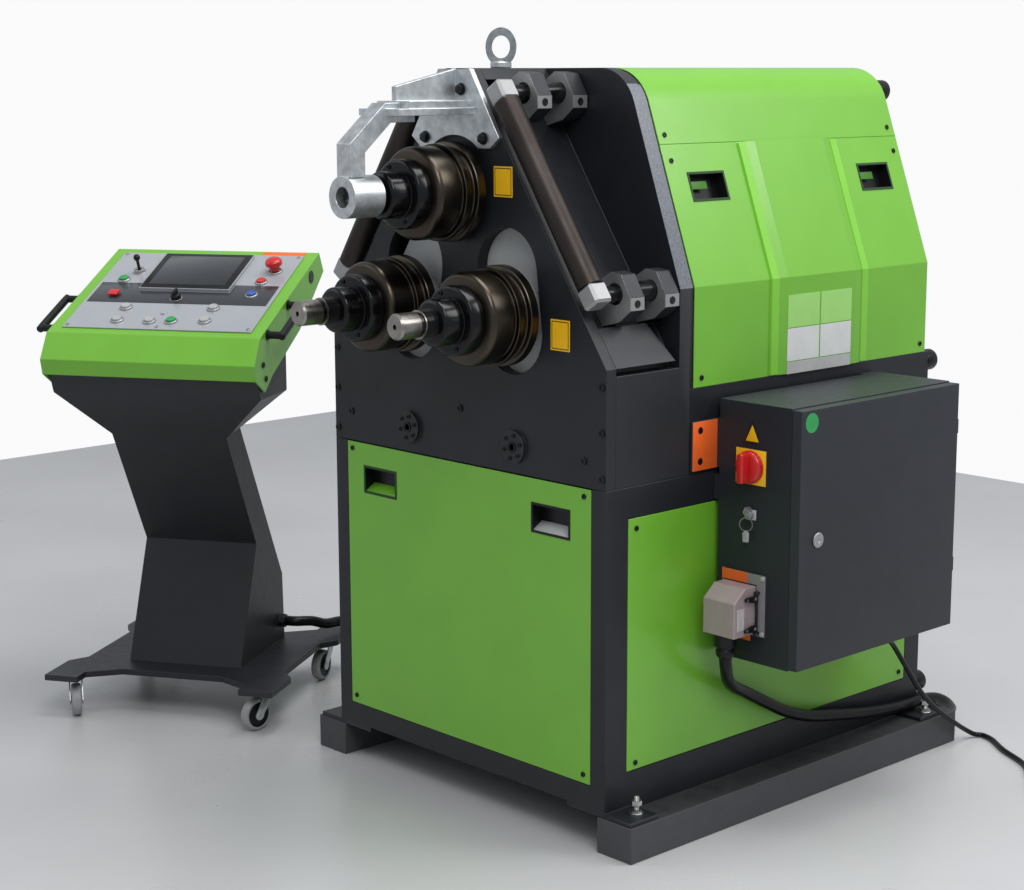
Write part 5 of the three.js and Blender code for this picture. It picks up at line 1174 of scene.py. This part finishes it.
class BENDER_OT_cabinet_fittings(bpy.types.Operator):
    """Adds the switch cabinet's plates, knob, key, lock, connector trim and orange brackets."""

    bl_idname = "bender.cabinet_fittings"
    bl_label = "Cabinet fittings"

    def execute(self, context):
        self.plates()
        self.connector()
        self.switch_and_key()
        self.door()
        return {"FINISHED"}

    def plates(self):
        """The bare sign, the plates behind the switch and the key, the gasket and the bracket's face."""
        face = on_front(0, 0, CABINET_Y)
        for name, material, outline, low, high, round_by in (
                ("sign_border", "black_film", SIGN_BORDER, 0, 0.6, 0.2),
                ("sign_plate", "yellow_film", SIGN_PLATE, 0.5, 0.9, 0.1),
                ("switch_plate", "yellow_film", SWITCH_PLATE, 3.9, 5, 0.3),
                ("key_plate", "silver_film", KEY_PLATE, 2.9, 3.6, 0.2),
                ("connector_gasket", "orange_paint", GASKET, 0, 1.2, 0.2)):
            prism_piece(name, material, outline, low, high, face, round_by, slot="cabinet_paint")
        prism_piece("orange_bracket", "orange_paint", BRACKET, 0, 1, on_right(BRACKET_X, 0, 0), 0.3,
                    slot="cabinet_paint")
        with making("bracket_holes", "black_plastic", slot="cabinet_paint") as bm:
            for z in BRACKET_HOLE_ZS:
                add_disc(bm, 7, 0.2, 1.2, on_right(BRACKET_X, BRACKET_HOLE_Y, z), 32)

    def connector(self):
        """The plug connector's flange, screws, locking lever, ribs and gland."""
        block_piece("connector_flange_face", "flange_grey", FLANGE_BARS, round_by=0.2, steps=1,
                    slot="cabinet_paint")
        block_piece("connector_flange_seal", "orange_paint", [FLANGE_SEAL], round_by=0.2, steps=1,
                    slot="cabinet_paint")
        screw_piece("connector_screws", "silver_film", *CONNECTOR_SCREW,
                    [on_front(x, z, CONNECTOR_FACE_Y) for x, z in CONNECTOR_SCREWS], slot="cabinet_paint")
        carried = {"body": BODY_OF["connector_lever"], "slot": SLOT_OF["connector_lever"]}
        with making("connector_latches", "black_plastic", replaces=["connector_lever"], **carried) as bm:
            for arm in (LEVER_ARM, [(y, 2 * LEVER_Z - z) for y, z in reversed(LEVER_ARM)]):
                add_prism(bm, arm, 0, LEVER_ARM_THICK, 0.5, on_right(LEVER_ARM_X, 0, 0))
            add_disc(bm, 2.4, -LEVER_ROD_REACH, LEVER_ROD_REACH, MACHINE @ move(*LEVER_ROD_PLACE), 20)
        with making("connector_pins", "bright_screw", **carried) as bm:
            for y, z in LEVER_PINS:
                add_disc(bm, 3.4, 0, 0.6, on_right(LEVER_PIN_X, y, z), 24, soft=0.2)
        block_piece("connector_ribs", "white_film", CONNECTOR_RIBS, round_by=0.4, steps=1,
                    slot="connector_plastic")
        turned_piece("cable_gland", "black_plastic", GLAND_PROFILE, MACHINE @ move(*GLAND_PLACE), 48, 0.7,
                     slot="connector_plastic")

    def switch_and_key(self):
        """The main switch's knob, and the key switch with its key, ring and tag."""
        knob = on_front(SWITCH_X, SWITCH_Z, KNOB_Y)
        with making("switch_knob_moulded", "red_plastic", body="main_switch", slot="red_plastic",
                    replaces=["main_switch_knob"]) as bm:
            add_turned(bm, KNOB_PROFILE, knob, soft=1.2)
            for i in range(KNOB_RIBS):
                add_block(bm, *KNOB_RIB, round_by=0.4, steps=1, at=knob @ turn(FULL * i / KNOB_RIBS, "Z"))
            add_block(bm, *KNOB_GRIP, round_by=4, steps=3, at=knob)
        key = on_front(SWITCH_X, KEY_Z, KEY_Y)
        carried = {"body": "key", "slot": "plain_steel"}
        with making("key_cut", "machined", replaces=["switch_key"], **carried) as bm:
            add_disc(bm, 3, -9, 2, key, 24)
            add_prism(bm, KEY_HEAD, -1.25, 1.25, 0.3,
                      key @ turn(QUARTER, "X") @ turn(QUARTER, "Y") @ turn(-QUARTER, "Z"))
        turned_piece("key_barrel", "machined", KEY_BARREL, on_front(SWITCH_X, KEY_Z, CABINET_Y), 48, 0.5,
                     slot="cabinet_paint")
        with making("key_ring", "machined", frame_at=KEY_RING, **carried) as bm:
            add_ring(bm, KEY_RING_RADIUS, KEY_RING_WIRE, 0, wire_sides=10, steps=40)
            add_prism(bm, KEY_TAG, -1, 1, 0.4, move(0, 0, -1) @ turn(QUARTER, "X"))

    def door(self):
        """The door's lock, its green dot and its seal."""
        at = on_right(*LOCK_PLACE)
        with making("door_lock_turned", "machined", body="door_lock_body", slot="black_plastic",
                    replaces=["door_lock"]) as bm:
            add_turned(bm, LOCK_PROFILE, at, sides=48, soft=0.4)
            add_block(bm, *LOCK_TONGUE, round_by=0.4, steps=1, at=at)
        carried = {"body": "cabinet_door_body", "slot": "cabinet_paint"}
        turned_piece("door_dot", "green_plastic", DOT_PROFILE, on_right(*DOT_PLACE), 48, 0.2, **carried)
        block_piece("door_seal", "rubber", DOOR_SEAL, round_by=0.4, steps=1, **carried)


def along(boxes, ys):
    """Boxes repeated at places along y."""
    return [((x0, y0 + y, z0), (x1, y1 + y, z1)) for y in ys for (x0, y0, z0), (x1, y1, z1) in boxes]


# Switchgear in the cabinet and the block behind its switch, in boxes between two corners

MOUNTING_PLATE = (((426, 330, 372), (428.5, 782, 830)), ((428.4, 330, 372), (436, 332, 830)),
                  ((428.4, 780, 372), (436, 782, 830)))
PLATE_NUT = (7, 6)
PLATE_NUTS = [on_right(428.5, y, z) for y in (342, 770) for z in (384, 818)]
DUCT_ZS = (798, 606, 424)
DUCTS_ACROSS = [((428.4, 352, z), (476, 760, z + 28)) for z in DUCT_ZS]
DUCTS_UP = along([((428.4, 0, 424), (476, 24, 826))], (352, 736))
DUCT_LIDS = [((475.6, 351, z - 1), (479, 761, z + 29)) for z in DUCT_ZS]
RAILS = [((428.4, 384, z - 17.5), (436, 730, z + 17.5)) for z in (716, 532)]
BREAKER_YS = [392 + i * 18 for i in range(8)]
BREAKER = (((436, 0, 674), (492, 17.4, 758)), ((491, 0, 694), (506, 17.4, 738)))
BREAKER_LEVER = (((505, 3, 714), (513, 14.4, 722)),)
CONTACTOR_YS = [562 + i * 54 for i in range(3)]
CONTACTOR = (((436, 0, 678), (500, 45, 754)), ((499, 4, 692), (516, 41, 740)))
CONTACTOR_SCREWS = [((499, y, z), (502, y + 8, z + 7)) for y in (5, 18, 31) for z in (681, 744)]
TERMINAL_YS = [598 + i * 7 for i in range(15)]
EARTH_YS = [703 + i * 7 for i in range(3)]
TERMINAL = (((436, 0, 504), (478, 6.6, 560)), ((477, 0, 516), (486, 6.6, 548)))
DEVICES = (
    ("cable_ducts", "tyre_grey", "black_plastic", 1, [*DUCTS_ACROSS, *DUCTS_UP]),
    ("duct_lids", "white_plastic", "black_plastic", 0.8, DUCT_LIDS),
    ("mounting_rails", "zinc", "zinc", 0.6, RAILS),
    ("breakers", "white_plastic", "black_plastic", 0.8, along(BREAKER, BREAKER_YS)),
    ("breaker_levers", "black_plastic", "black_plastic", 0.8, along(BREAKER_LEVER, BREAKER_YS)),
    ("contactors", "panel_dark", "black_plastic", 0.8, along(CONTACTOR, CONTACTOR_YS)),
    ("contactor_terminals", "bright_screw", "black_plastic", 0.5, along(CONTACTOR_SCREWS, CONTACTOR_YS)),
    ("power_supply", "zinc", "black_plastic", 1.4, [((436, 392, 482), (520, 446, 582))]),
    ("controller", "panel_dark", "black_plastic", 1.6,
     [((436, 456, 480), (504, 586, 584)), ((503, 462, 500), (510, 580, 564))]),
    ("controller_front", "screen_glass", "black_plastic", 0.3, [((509.4, 470, 530), (510.6, 520, 556))]),
    ("terminals", "grey_paint", "black_plastic", 0.6, along(TERMINAL, TERMINAL_YS)),
    ("earth_terminals", "tab_green", "black_plastic", 0.6, along(TERMINAL, EARTH_YS)),
)
CONTACT_BLOCK_Y = 307
CONTACT_BLOCK = ((-28, -28, -62), (28, 28, -16))
CONTACT_RING = [(8, 0), (20, 0), (20, -17), (8, -17), (8, 0)]


class BENDER_OT_switchgear(bpy.types.Operator):
    """Fills the cabinet with its mounting plate, ducts, breakers, contactors, controller and terminals."""

    bl_idname = "bender.switchgear"
    bl_label = "Switchgear"

    def execute(self, context):
        block_piece("mounting_plate", "zinc", MOUNTING_PLATE, round_by=0.4, slot="zinc")
        with making("plate_nuts", "bright_screw", slot="zinc") as bm:
            for at in PLATE_NUTS:
                hex_head(bm, *PLATE_NUT, at)
                add_disc(bm, 4, -7, 0, at, 16)
        for name, material, slot, round_by, boxes in DEVICES:
            block_piece(name, material, boxes, round_by=round_by, slot=slot)
        behind = on_front(SWITCH_X, SWITCH_Z, CONTACT_BLOCK_Y)
        with making("switch_contact_block", "black_plastic", slot="black_plastic") as bm:
            add_turned(bm, CONTACT_RING, behind, sides=32, soft=0.4)
            add_block(bm, *CONTACT_BLOCK, round_by=2, at=behind)
        return {"FINISHED"}


# Console: x across, y up the panel's slope or back from the stand's front, z out of the panel or up

PANEL_BOXES = (
    ("panel_band", "panel_dark", ((-223, 142, 3.3), (223, 238, 3.7)), 0.1, "panel_plastic"),
    ("panel_strip_orange", "orange_paint", ((121, 396, -0.4), (229, 414, 0.9)), 0.3, "green_paint"),
    ("display_bezel", "black_plastic", ((-113, 200, 3.3), (113, 376, 12.9)), 3, "panel_plastic"),
    ("display_glass", "screen_glass", ((-95, 218, 12.3), (95, 360, 13.5)), 0.4, "panel_plastic"),
)
GOLD_PLATE = ((-62, 0, 0), (62, 58, 0.9))
GOLD_PLATE_FRAME = CONSOLE @ move(0, 94.6, 322) @ turn(math.radians(67), "X")
PANEL_SCREW = (4.5, 2)
PANEL_SCREWS = ((-221, 32), (-221, 383), (0, 32), (221, 32), (221, 383))
HEAD_HALF = 260
HEAD_SCREW = (7, 3)
HEAD_SCREWS = ((-117, 844), (-102, 811))
HEAD_CAP = (197, 1010)
HEAD_CAP_PROFILE = [(0, 1.5), (15, 1.5), (15, 0)]
HANDLE_Z = -14
GRIP_X = 296
GRIP_Y = 112
GRIP_PROFILE = [(0, 79), (8.5, 79), (9.2, 60), (9.2, -60), (8.5, -79), (0, -79)]
GRIP_FEET = (42, 182)
GRIP_FOOT = [(7.3, 36), (8.6, 36), (8.6, 3), (12, 3), (12, 0), (7.3, 0)]


class BENDER_OT_console_fittings(bpy.types.Operator):
    """Adds the console's panel band, display, orange strip, plate, handles and screws."""

    bl_idname = "bender.console_fittings"
    bl_label = "Console fittings"

    def execute(self, context):
        for name, material, box, round_by, slot in PANEL_BOXES:
            block_piece(name, material, [box], PANEL, round_by, slot=slot)
        block_piece("gold_plate", "gold_film", [GOLD_PLATE], GOLD_PLATE_FRAME, round_by=0.2)
        screw_piece("panel_screws", "bright_screw", *PANEL_SCREW, [on_panel(spot) for spot in PANEL_SCREWS],
                    slot="panel_plastic")
        with making("console_side_screws", "screw_steel", slot="green_paint") as bm:
            for _, sign in SIDES:
                for y, z in HEAD_SCREWS:
                    cap_screw(bm, *HEAD_SCREW, self.out_of_side(CONSOLE, sign, y, z))
                cap_at = self.out_of_side(CONSOLE, sign, *HEAD_CAP)
                add_turned(bm, HEAD_CAP_PROFILE, cap_at, sides=40, soft=0.4)
        with making("console_grips", "black_plastic", slot="black_plastic") as bm:
            for _, sign in SIDES:
                grip = PANEL @ move(sign * GRIP_X, GRIP_Y, HANDLE_Z) @ turn(QUARTER, "X")
                add_turned(bm, GRIP_PROFILE, grip, sides=40, soft=2)
                for y in GRIP_FEET:
                    foot_at = self.out_of_side(PANEL, sign, y, HANDLE_Z)
                    add_turned(bm, GRIP_FOOT, foot_at, sides=32, soft=0.5)
        return {"FINISHED"}

    def out_of_side(self, base, sign, y, z):
        """A frame on a side of the console's head, whose z looks outwards."""
        return base @ move(sign * HEAD_HALF, y, z) @ turn(sign * QUARTER, "Y")


# Controls on the panel, at (x, y) on its face; profiles are (radius, height above the face)

BUTTONS = {
    "green_button": (-174, 252, "green_plastic"), "red_button": (172, 255, "red_plastic"),
    "blue_button": (171, 191, "blue_plastic"), "panel_button_1": (-111, 117, "white_plastic"),
    "panel_button_2": (-108, 57, "white_plastic"), "panel_button_3": (-28, 56, "white_plastic"),
    "panel_button_4": (24, 59, "green_plastic"), "panel_button_5": (104, 64, "white_plastic"),
    "panel_button_6": (103, 123, "white_plastic"),
}
BUTTON_CAP = [
    (0, 8.2), (6, 8.3), (9.2, 8.9), (10.4, 8.4), (11, 7), (11, 3.3), (7, 3.3), (7, -14), (0, -14),
]
BUTTON_BEZEL = [(11.5, 0), (11.5, 4.6), (13.6, 4.8), (15.3, 3), (15.6, 0)]
SQUARE_STOP = (-169, 180)
SQUARE_CAP = ((-12, -12, 3.3), (12, 12, 8))
EMERGENCY_STOP = (187, 310)
STOP_CAP = [
    (0, 35), (8, 34.6), (15, 33), (19, 29.5), (20, 26), (20, 20), (18, 18), (12.6, 18), (12.6, 6.4),
    (6.6, 6.4), (6.6, -14), (0, -14),
]
STOP_BEZEL = [(13.6, 0), (13.6, 4), (16, 4.6), (18, 3), (18.4, 0)]
SELECTOR = (-7, 167)
SELECTOR_CAP = [(0, 12.3), (10.5, 12.3), (12, 10), (12, 0.3), (7, 0.3), (7, -14), (0, -14)]
SELECTOR_GRIP = ((-3.5, -11, 11), (3.5, 11, 22.3))
SELECTOR_BEZEL = [(12.4, 0), (12.4, 1.4), (15, 1.4), (15, 0)]
JOYSTICK = (-151, 293)
JOYSTICK_PIVOT = 4.3
JOYSTICK_LEVER = [
    (0, 42), (5, 41), (7.6, 37.5), (8, 34), (7, 30), (4.6, 27), (3.5, 24), (3.5, 4), (3.9, 1), (3.6, -2),
    (0, -4),
]
JOYSTICK_BEZEL = [(7.4, 8.6), (12.4, 8.6), (12.6, 1), (16, 0.6), (16, 0)]


class BENDER_OT_controls(bpy.types.Operator):
    """Moulds the push buttons, emergency stop, selector and joystick."""

    bl_idname = "bender.controls"
    bl_label = "Controls"

    def execute(self, context):
        for name, (x, y, colour) in BUTTONS.items():
            turned_piece(f"{name}_cap", colour, BUTTON_CAP, on_panel((x, y)), 48, 0.4, body=f"{name}_body",
                         slot=SLOT_OF[name], replaces=[name])
        with making("square_stop_cap", "red_plastic", body="stop_square_button_body", slot="red_plastic",
                    replaces=["stop_square_button"]) as bm:
            add_block(bm, *SQUARE_CAP, round_by=1.5, steps=3, at=on_panel(SQUARE_STOP))
            add_disc(bm, 7, -14, 4, on_panel(SQUARE_STOP), 24)
        turned_piece("emergency_stop_cap", "red_plastic", STOP_CAP, on_panel(EMERGENCY_STOP), 64, 0.8,
                     body="emergency_stop_body", slot="red_plastic", replaces=["emergency_stop"])
        with making("selector_knob_moulded", "black_plastic", body="selector", slot="black_plastic",
                    replaces=["selector_switch"]) as bm:
            add_turned(bm, SELECTOR_CAP, on_panel(SELECTOR), sides=48, soft=0.8)
            add_block(bm, *SELECTOR_GRIP, round_by=1.6, steps=3, at=on_panel(SELECTOR))
        pivot = on_panel(JOYSTICK, JOYSTICK_PIVOT)
        turned_piece("joystick_moulded", "black_plastic", JOYSTICK_LEVER, pivot, 48, 0.5,
                     body="joystick_body", slot="black_plastic", replaces=["joystick"])
        bezels = [(BUTTON_BEZEL, (x, y), 0.4) for x, y, _ in BUTTONS.values()]
        bezels += [(STOP_BEZEL, EMERGENCY_STOP, 0.5), (JOYSTICK_BEZEL, JOYSTICK, 0.4),
                   (SELECTOR_BEZEL, SELECTOR, 0.3)]
        with making("control_bezels", "machined", slot="panel_plastic") as bm:
            for profile, spot, soft in bezels:
                add_turned(bm, profile, on_panel(spot), sides=48, soft=soft)
        return {"FINISHED"}


# Casters: place on the console's foot and turn of the fork

CASTERS = {
    "front_left": (-239, -106, 0.5), "front_right": (239, -106, -0.5), "rear_left": (-239, 302, 0.1),
    "rear_right": (239, 302, -0.1),
}
AXLE_BACK = -28
AXLE_HEIGHT = 37.5
FORK_HEAD = [(0, 90), (5, 90), (5, 84), (21, 84), (22, 81), (20, 78.5), (0, 78.5)]
FORK_CAP = [(0, 86.5), (14, 86.5), (16, 84), (0, 84)]
FORK_LEG = [(16, 82), (-14, 82), *circle(12, 20, math.pi, (AXLE_BACK, AXLE_HEIGHT))[:11]]
FORK_SIDES = ((13, 16), (-16, -13))
FORK_BRIDGE = ((-16, -13, 78), (16, 15, 81))
AXLE_NUT = [(0, 18), (6.4, 18), (7, 16.2), (0, 16)]
TYRE_PROFILE = [(29, 11), (34, 11.6), (37, 8), (37.5, 4), (37.5, -4), (37, -8), (34, -11.6), (29, -11)]
HUB_PROFILE = [
    (4.5, 12), (9, 12), (10, 9), (24, 7.5), (29.5, 10), (29.5, -10), (24, -7.5), (10, -9), (9, -12),
    (4.5, -12), (4.5, 12),
]


class BENDER_OT_casters(bpy.types.Operator):
    """Presses the caster forks and turns their wheels."""

    bl_idname = "bender.casters"
    bl_label = "Casters"

    def execute(self, context):
        for name, (x, y, angle) in CASTERS.items():
            at = CONSOLE @ move(x, y, 0) @ turn(angle, "Z")
            axle = at @ move(0, AXLE_BACK, AXLE_HEIGHT) @ turn(QUARTER, "Y")
            with making(f"caster_fork_pressed_{name}", "zinc", body=f"caster_{name}", slot="zinc",
                        replaces=[f"caster_fork_{name}"]) as bm:
                add_turned(bm, FORK_HEAD, at, sides=48, soft=0.8)
                add_turned(bm, FORK_CAP, at, sides=40, soft=0.4)
                for low, high in FORK_SIDES:
                    add_prism(bm, FORK_LEG, low, high, 0.6, at @ OUT_RIGHT)
                add_block(bm, *FORK_BRIDGE, round_by=1, at=at)
                for _, sign in SIDES:
                    end = axle @ Matrix.Scale(sign, 4, (0, 0, 1))
                    add_turned(bm, AXLE_NUT, end, sides=24, soft=0.4)
                add_disc(bm, 4, -16, 16, axle, 24)
            wheel = {"body": f"wheel_{name}", "slot": "rubber"}
            turned_piece(f"caster_tyre_{name}", "tyre_grey", TYRE_PROFILE, axle, 64, 1.2,
                         replaces=[f"caster_wheel_{name}"], **wheel)
            turned_piece(f"caster_hub_{name}", "black_plastic", HUB_PROFILE, axle, 64, 0.8, **wheel)
        return {"FINISHED"}


# Stage: the floor in millimetres, the lamps in metres from the middle of the bender

FLOOR_SIZE = (10050, 9650, 1)
FLOOR_PLACE = (975, -1175, -0.5)
SEEN_WORLD = (0.96, 0.96, 0.97, 1)
WORLD_LIGHT = (0.9, 0.95, 1, 1)
WORLD_STRENGTH = 0.5
LAMPS = (
    ("key", (3.4, -2.4, 3.6), 2.0, 95), ("fill", (-3.2, -3.4, 3.0), 3.0, 26),
    ("top", (0.8, 0.4, 4.4), 3.0, 150), ("rim", (3.6, 2.6, 3.4), 2.2, 90),
)
LAMP_AIM = (0, 0, 0.2)


class BENDER_OT_stage(bpy.types.Operator):
    """Lays the floor and sets the lights."""

    bl_idname = "bender.stage"
    bl_label = "Stage"

    def execute(self, context):
        bm = bmesh.new()
        bmesh.ops.create_grid(bm, x_segments=1, y_segments=1, size=0.5)
        bmesh.ops.scale(bm, vec=FLOOR_SIZE, verts=bm.verts)
        bmesh.ops.transform(bm, matrix=MACHINE @ move(*FLOOR_PLACE), verts=bm.verts)
        mesh = bpy.data.meshes.new("floor")
        bm.to_mesh(mesh)
        bm.free()
        floor = shown("floor", mesh, "floor")
        self.world(context.scene)
        low, high = CAD_BOX
        for name, where, size, power in LAMPS:
            data = bpy.data.lights.new(name, "AREA")
            data.size = size
            data.energy = power
            lamp = bpy.data.objects.new(name, data)
            context.collection.objects.link(lamp)
            lamp.location = (low + high) / 2 + Vector(where)
            lamp.rotation_euler = (Vector(LAMP_AIM) - Vector(where)).to_track_quat("-Z", "Y").to_euler()
        context.scene.view_settings.view_transform = "Standard"
        return {"FINISHED"}

    def world(self, scene):
        """A nearly white background that gives only a dim light."""
        world = scene.world or bpy.data.worlds.new("world")
        scene.world = world
        world.use_nodes = True
        tree = world.node_tree
        tree.nodes.clear()
        mix = add_node(tree, "MixShader")
        sources = (
            (add_node(tree, "LightPath"), "Is Camera Ray"),
            (add_node(tree, "Background", Color=WORLD_LIGHT, Strength=WORLD_STRENGTH), "Background"),
            (add_node(tree, "Background", Color=SEEN_WORLD, Strength=1), "Background"),
        )
        for socket, (node, output) in zip(mix.inputs, sources):
            tree.links.new(node.outputs[output], socket)
        tree.links.new(mix.outputs["Shader"], add_node(tree, "OutputWorld").inputs["Surface"])


class BENDER_PT_sidebar(bpy.types.Panel):
    """Lists the steps that dress the bender."""

    bl_label = "Tube bender"
    bl_idname = "BENDER_PT_sidebar"
    bl_space_type = "VIEW_3D"
    bl_region_type = "UI"
    bl_category = "Bender"

    def draw(self, context):
        for group in (context.scene.bender_paint, context.scene.bender_sizes):
            for key in group.__annotations__:
                self.layout.prop(group, key)
        for step in STEPS:
            self.layout.operator(step.bl_idname)


STEPS = (
    BENDER_OT_camera, BENDER_OT_cables, BENDER_OT_sheet_metal, BENDER_OT_rolls, BENDER_OT_guides,
    BENDER_OT_front_fittings, BENDER_OT_hood_fittings, BENDER_OT_cabinet_fittings, BENDER_OT_switchgear,
    BENDER_OT_console_fittings, BENDER_OT_controls, BENDER_OT_casters, BENDER_OT_stage,
)
CLASSES = (BenderPaint, BenderSizes, *STEPS, BENDER_PT_sidebar)


def register():
    for item in CLASSES:
        bpy.utils.register_class(item)
    bpy.types.Scene.bender_paint = bpy.props.PointerProperty(type=BenderPaint)
    bpy.types.Scene.bender_sizes = bpy.props.PointerProperty(type=BenderSizes)


def unregister():
    del bpy.types.Scene.bender_sizes
    del bpy.types.Scene.bender_paint
    for item in reversed(CLASSES):
        bpy.utils.unregister_class(item)


def main():
    register()
    for step in STEPS:
        group, name = step.bl_idname.split(".")
        getattr(getattr(bpy.ops, group), name)()
    bpy.context.view_layer.update()


if __name__ == "__main__":
    main()
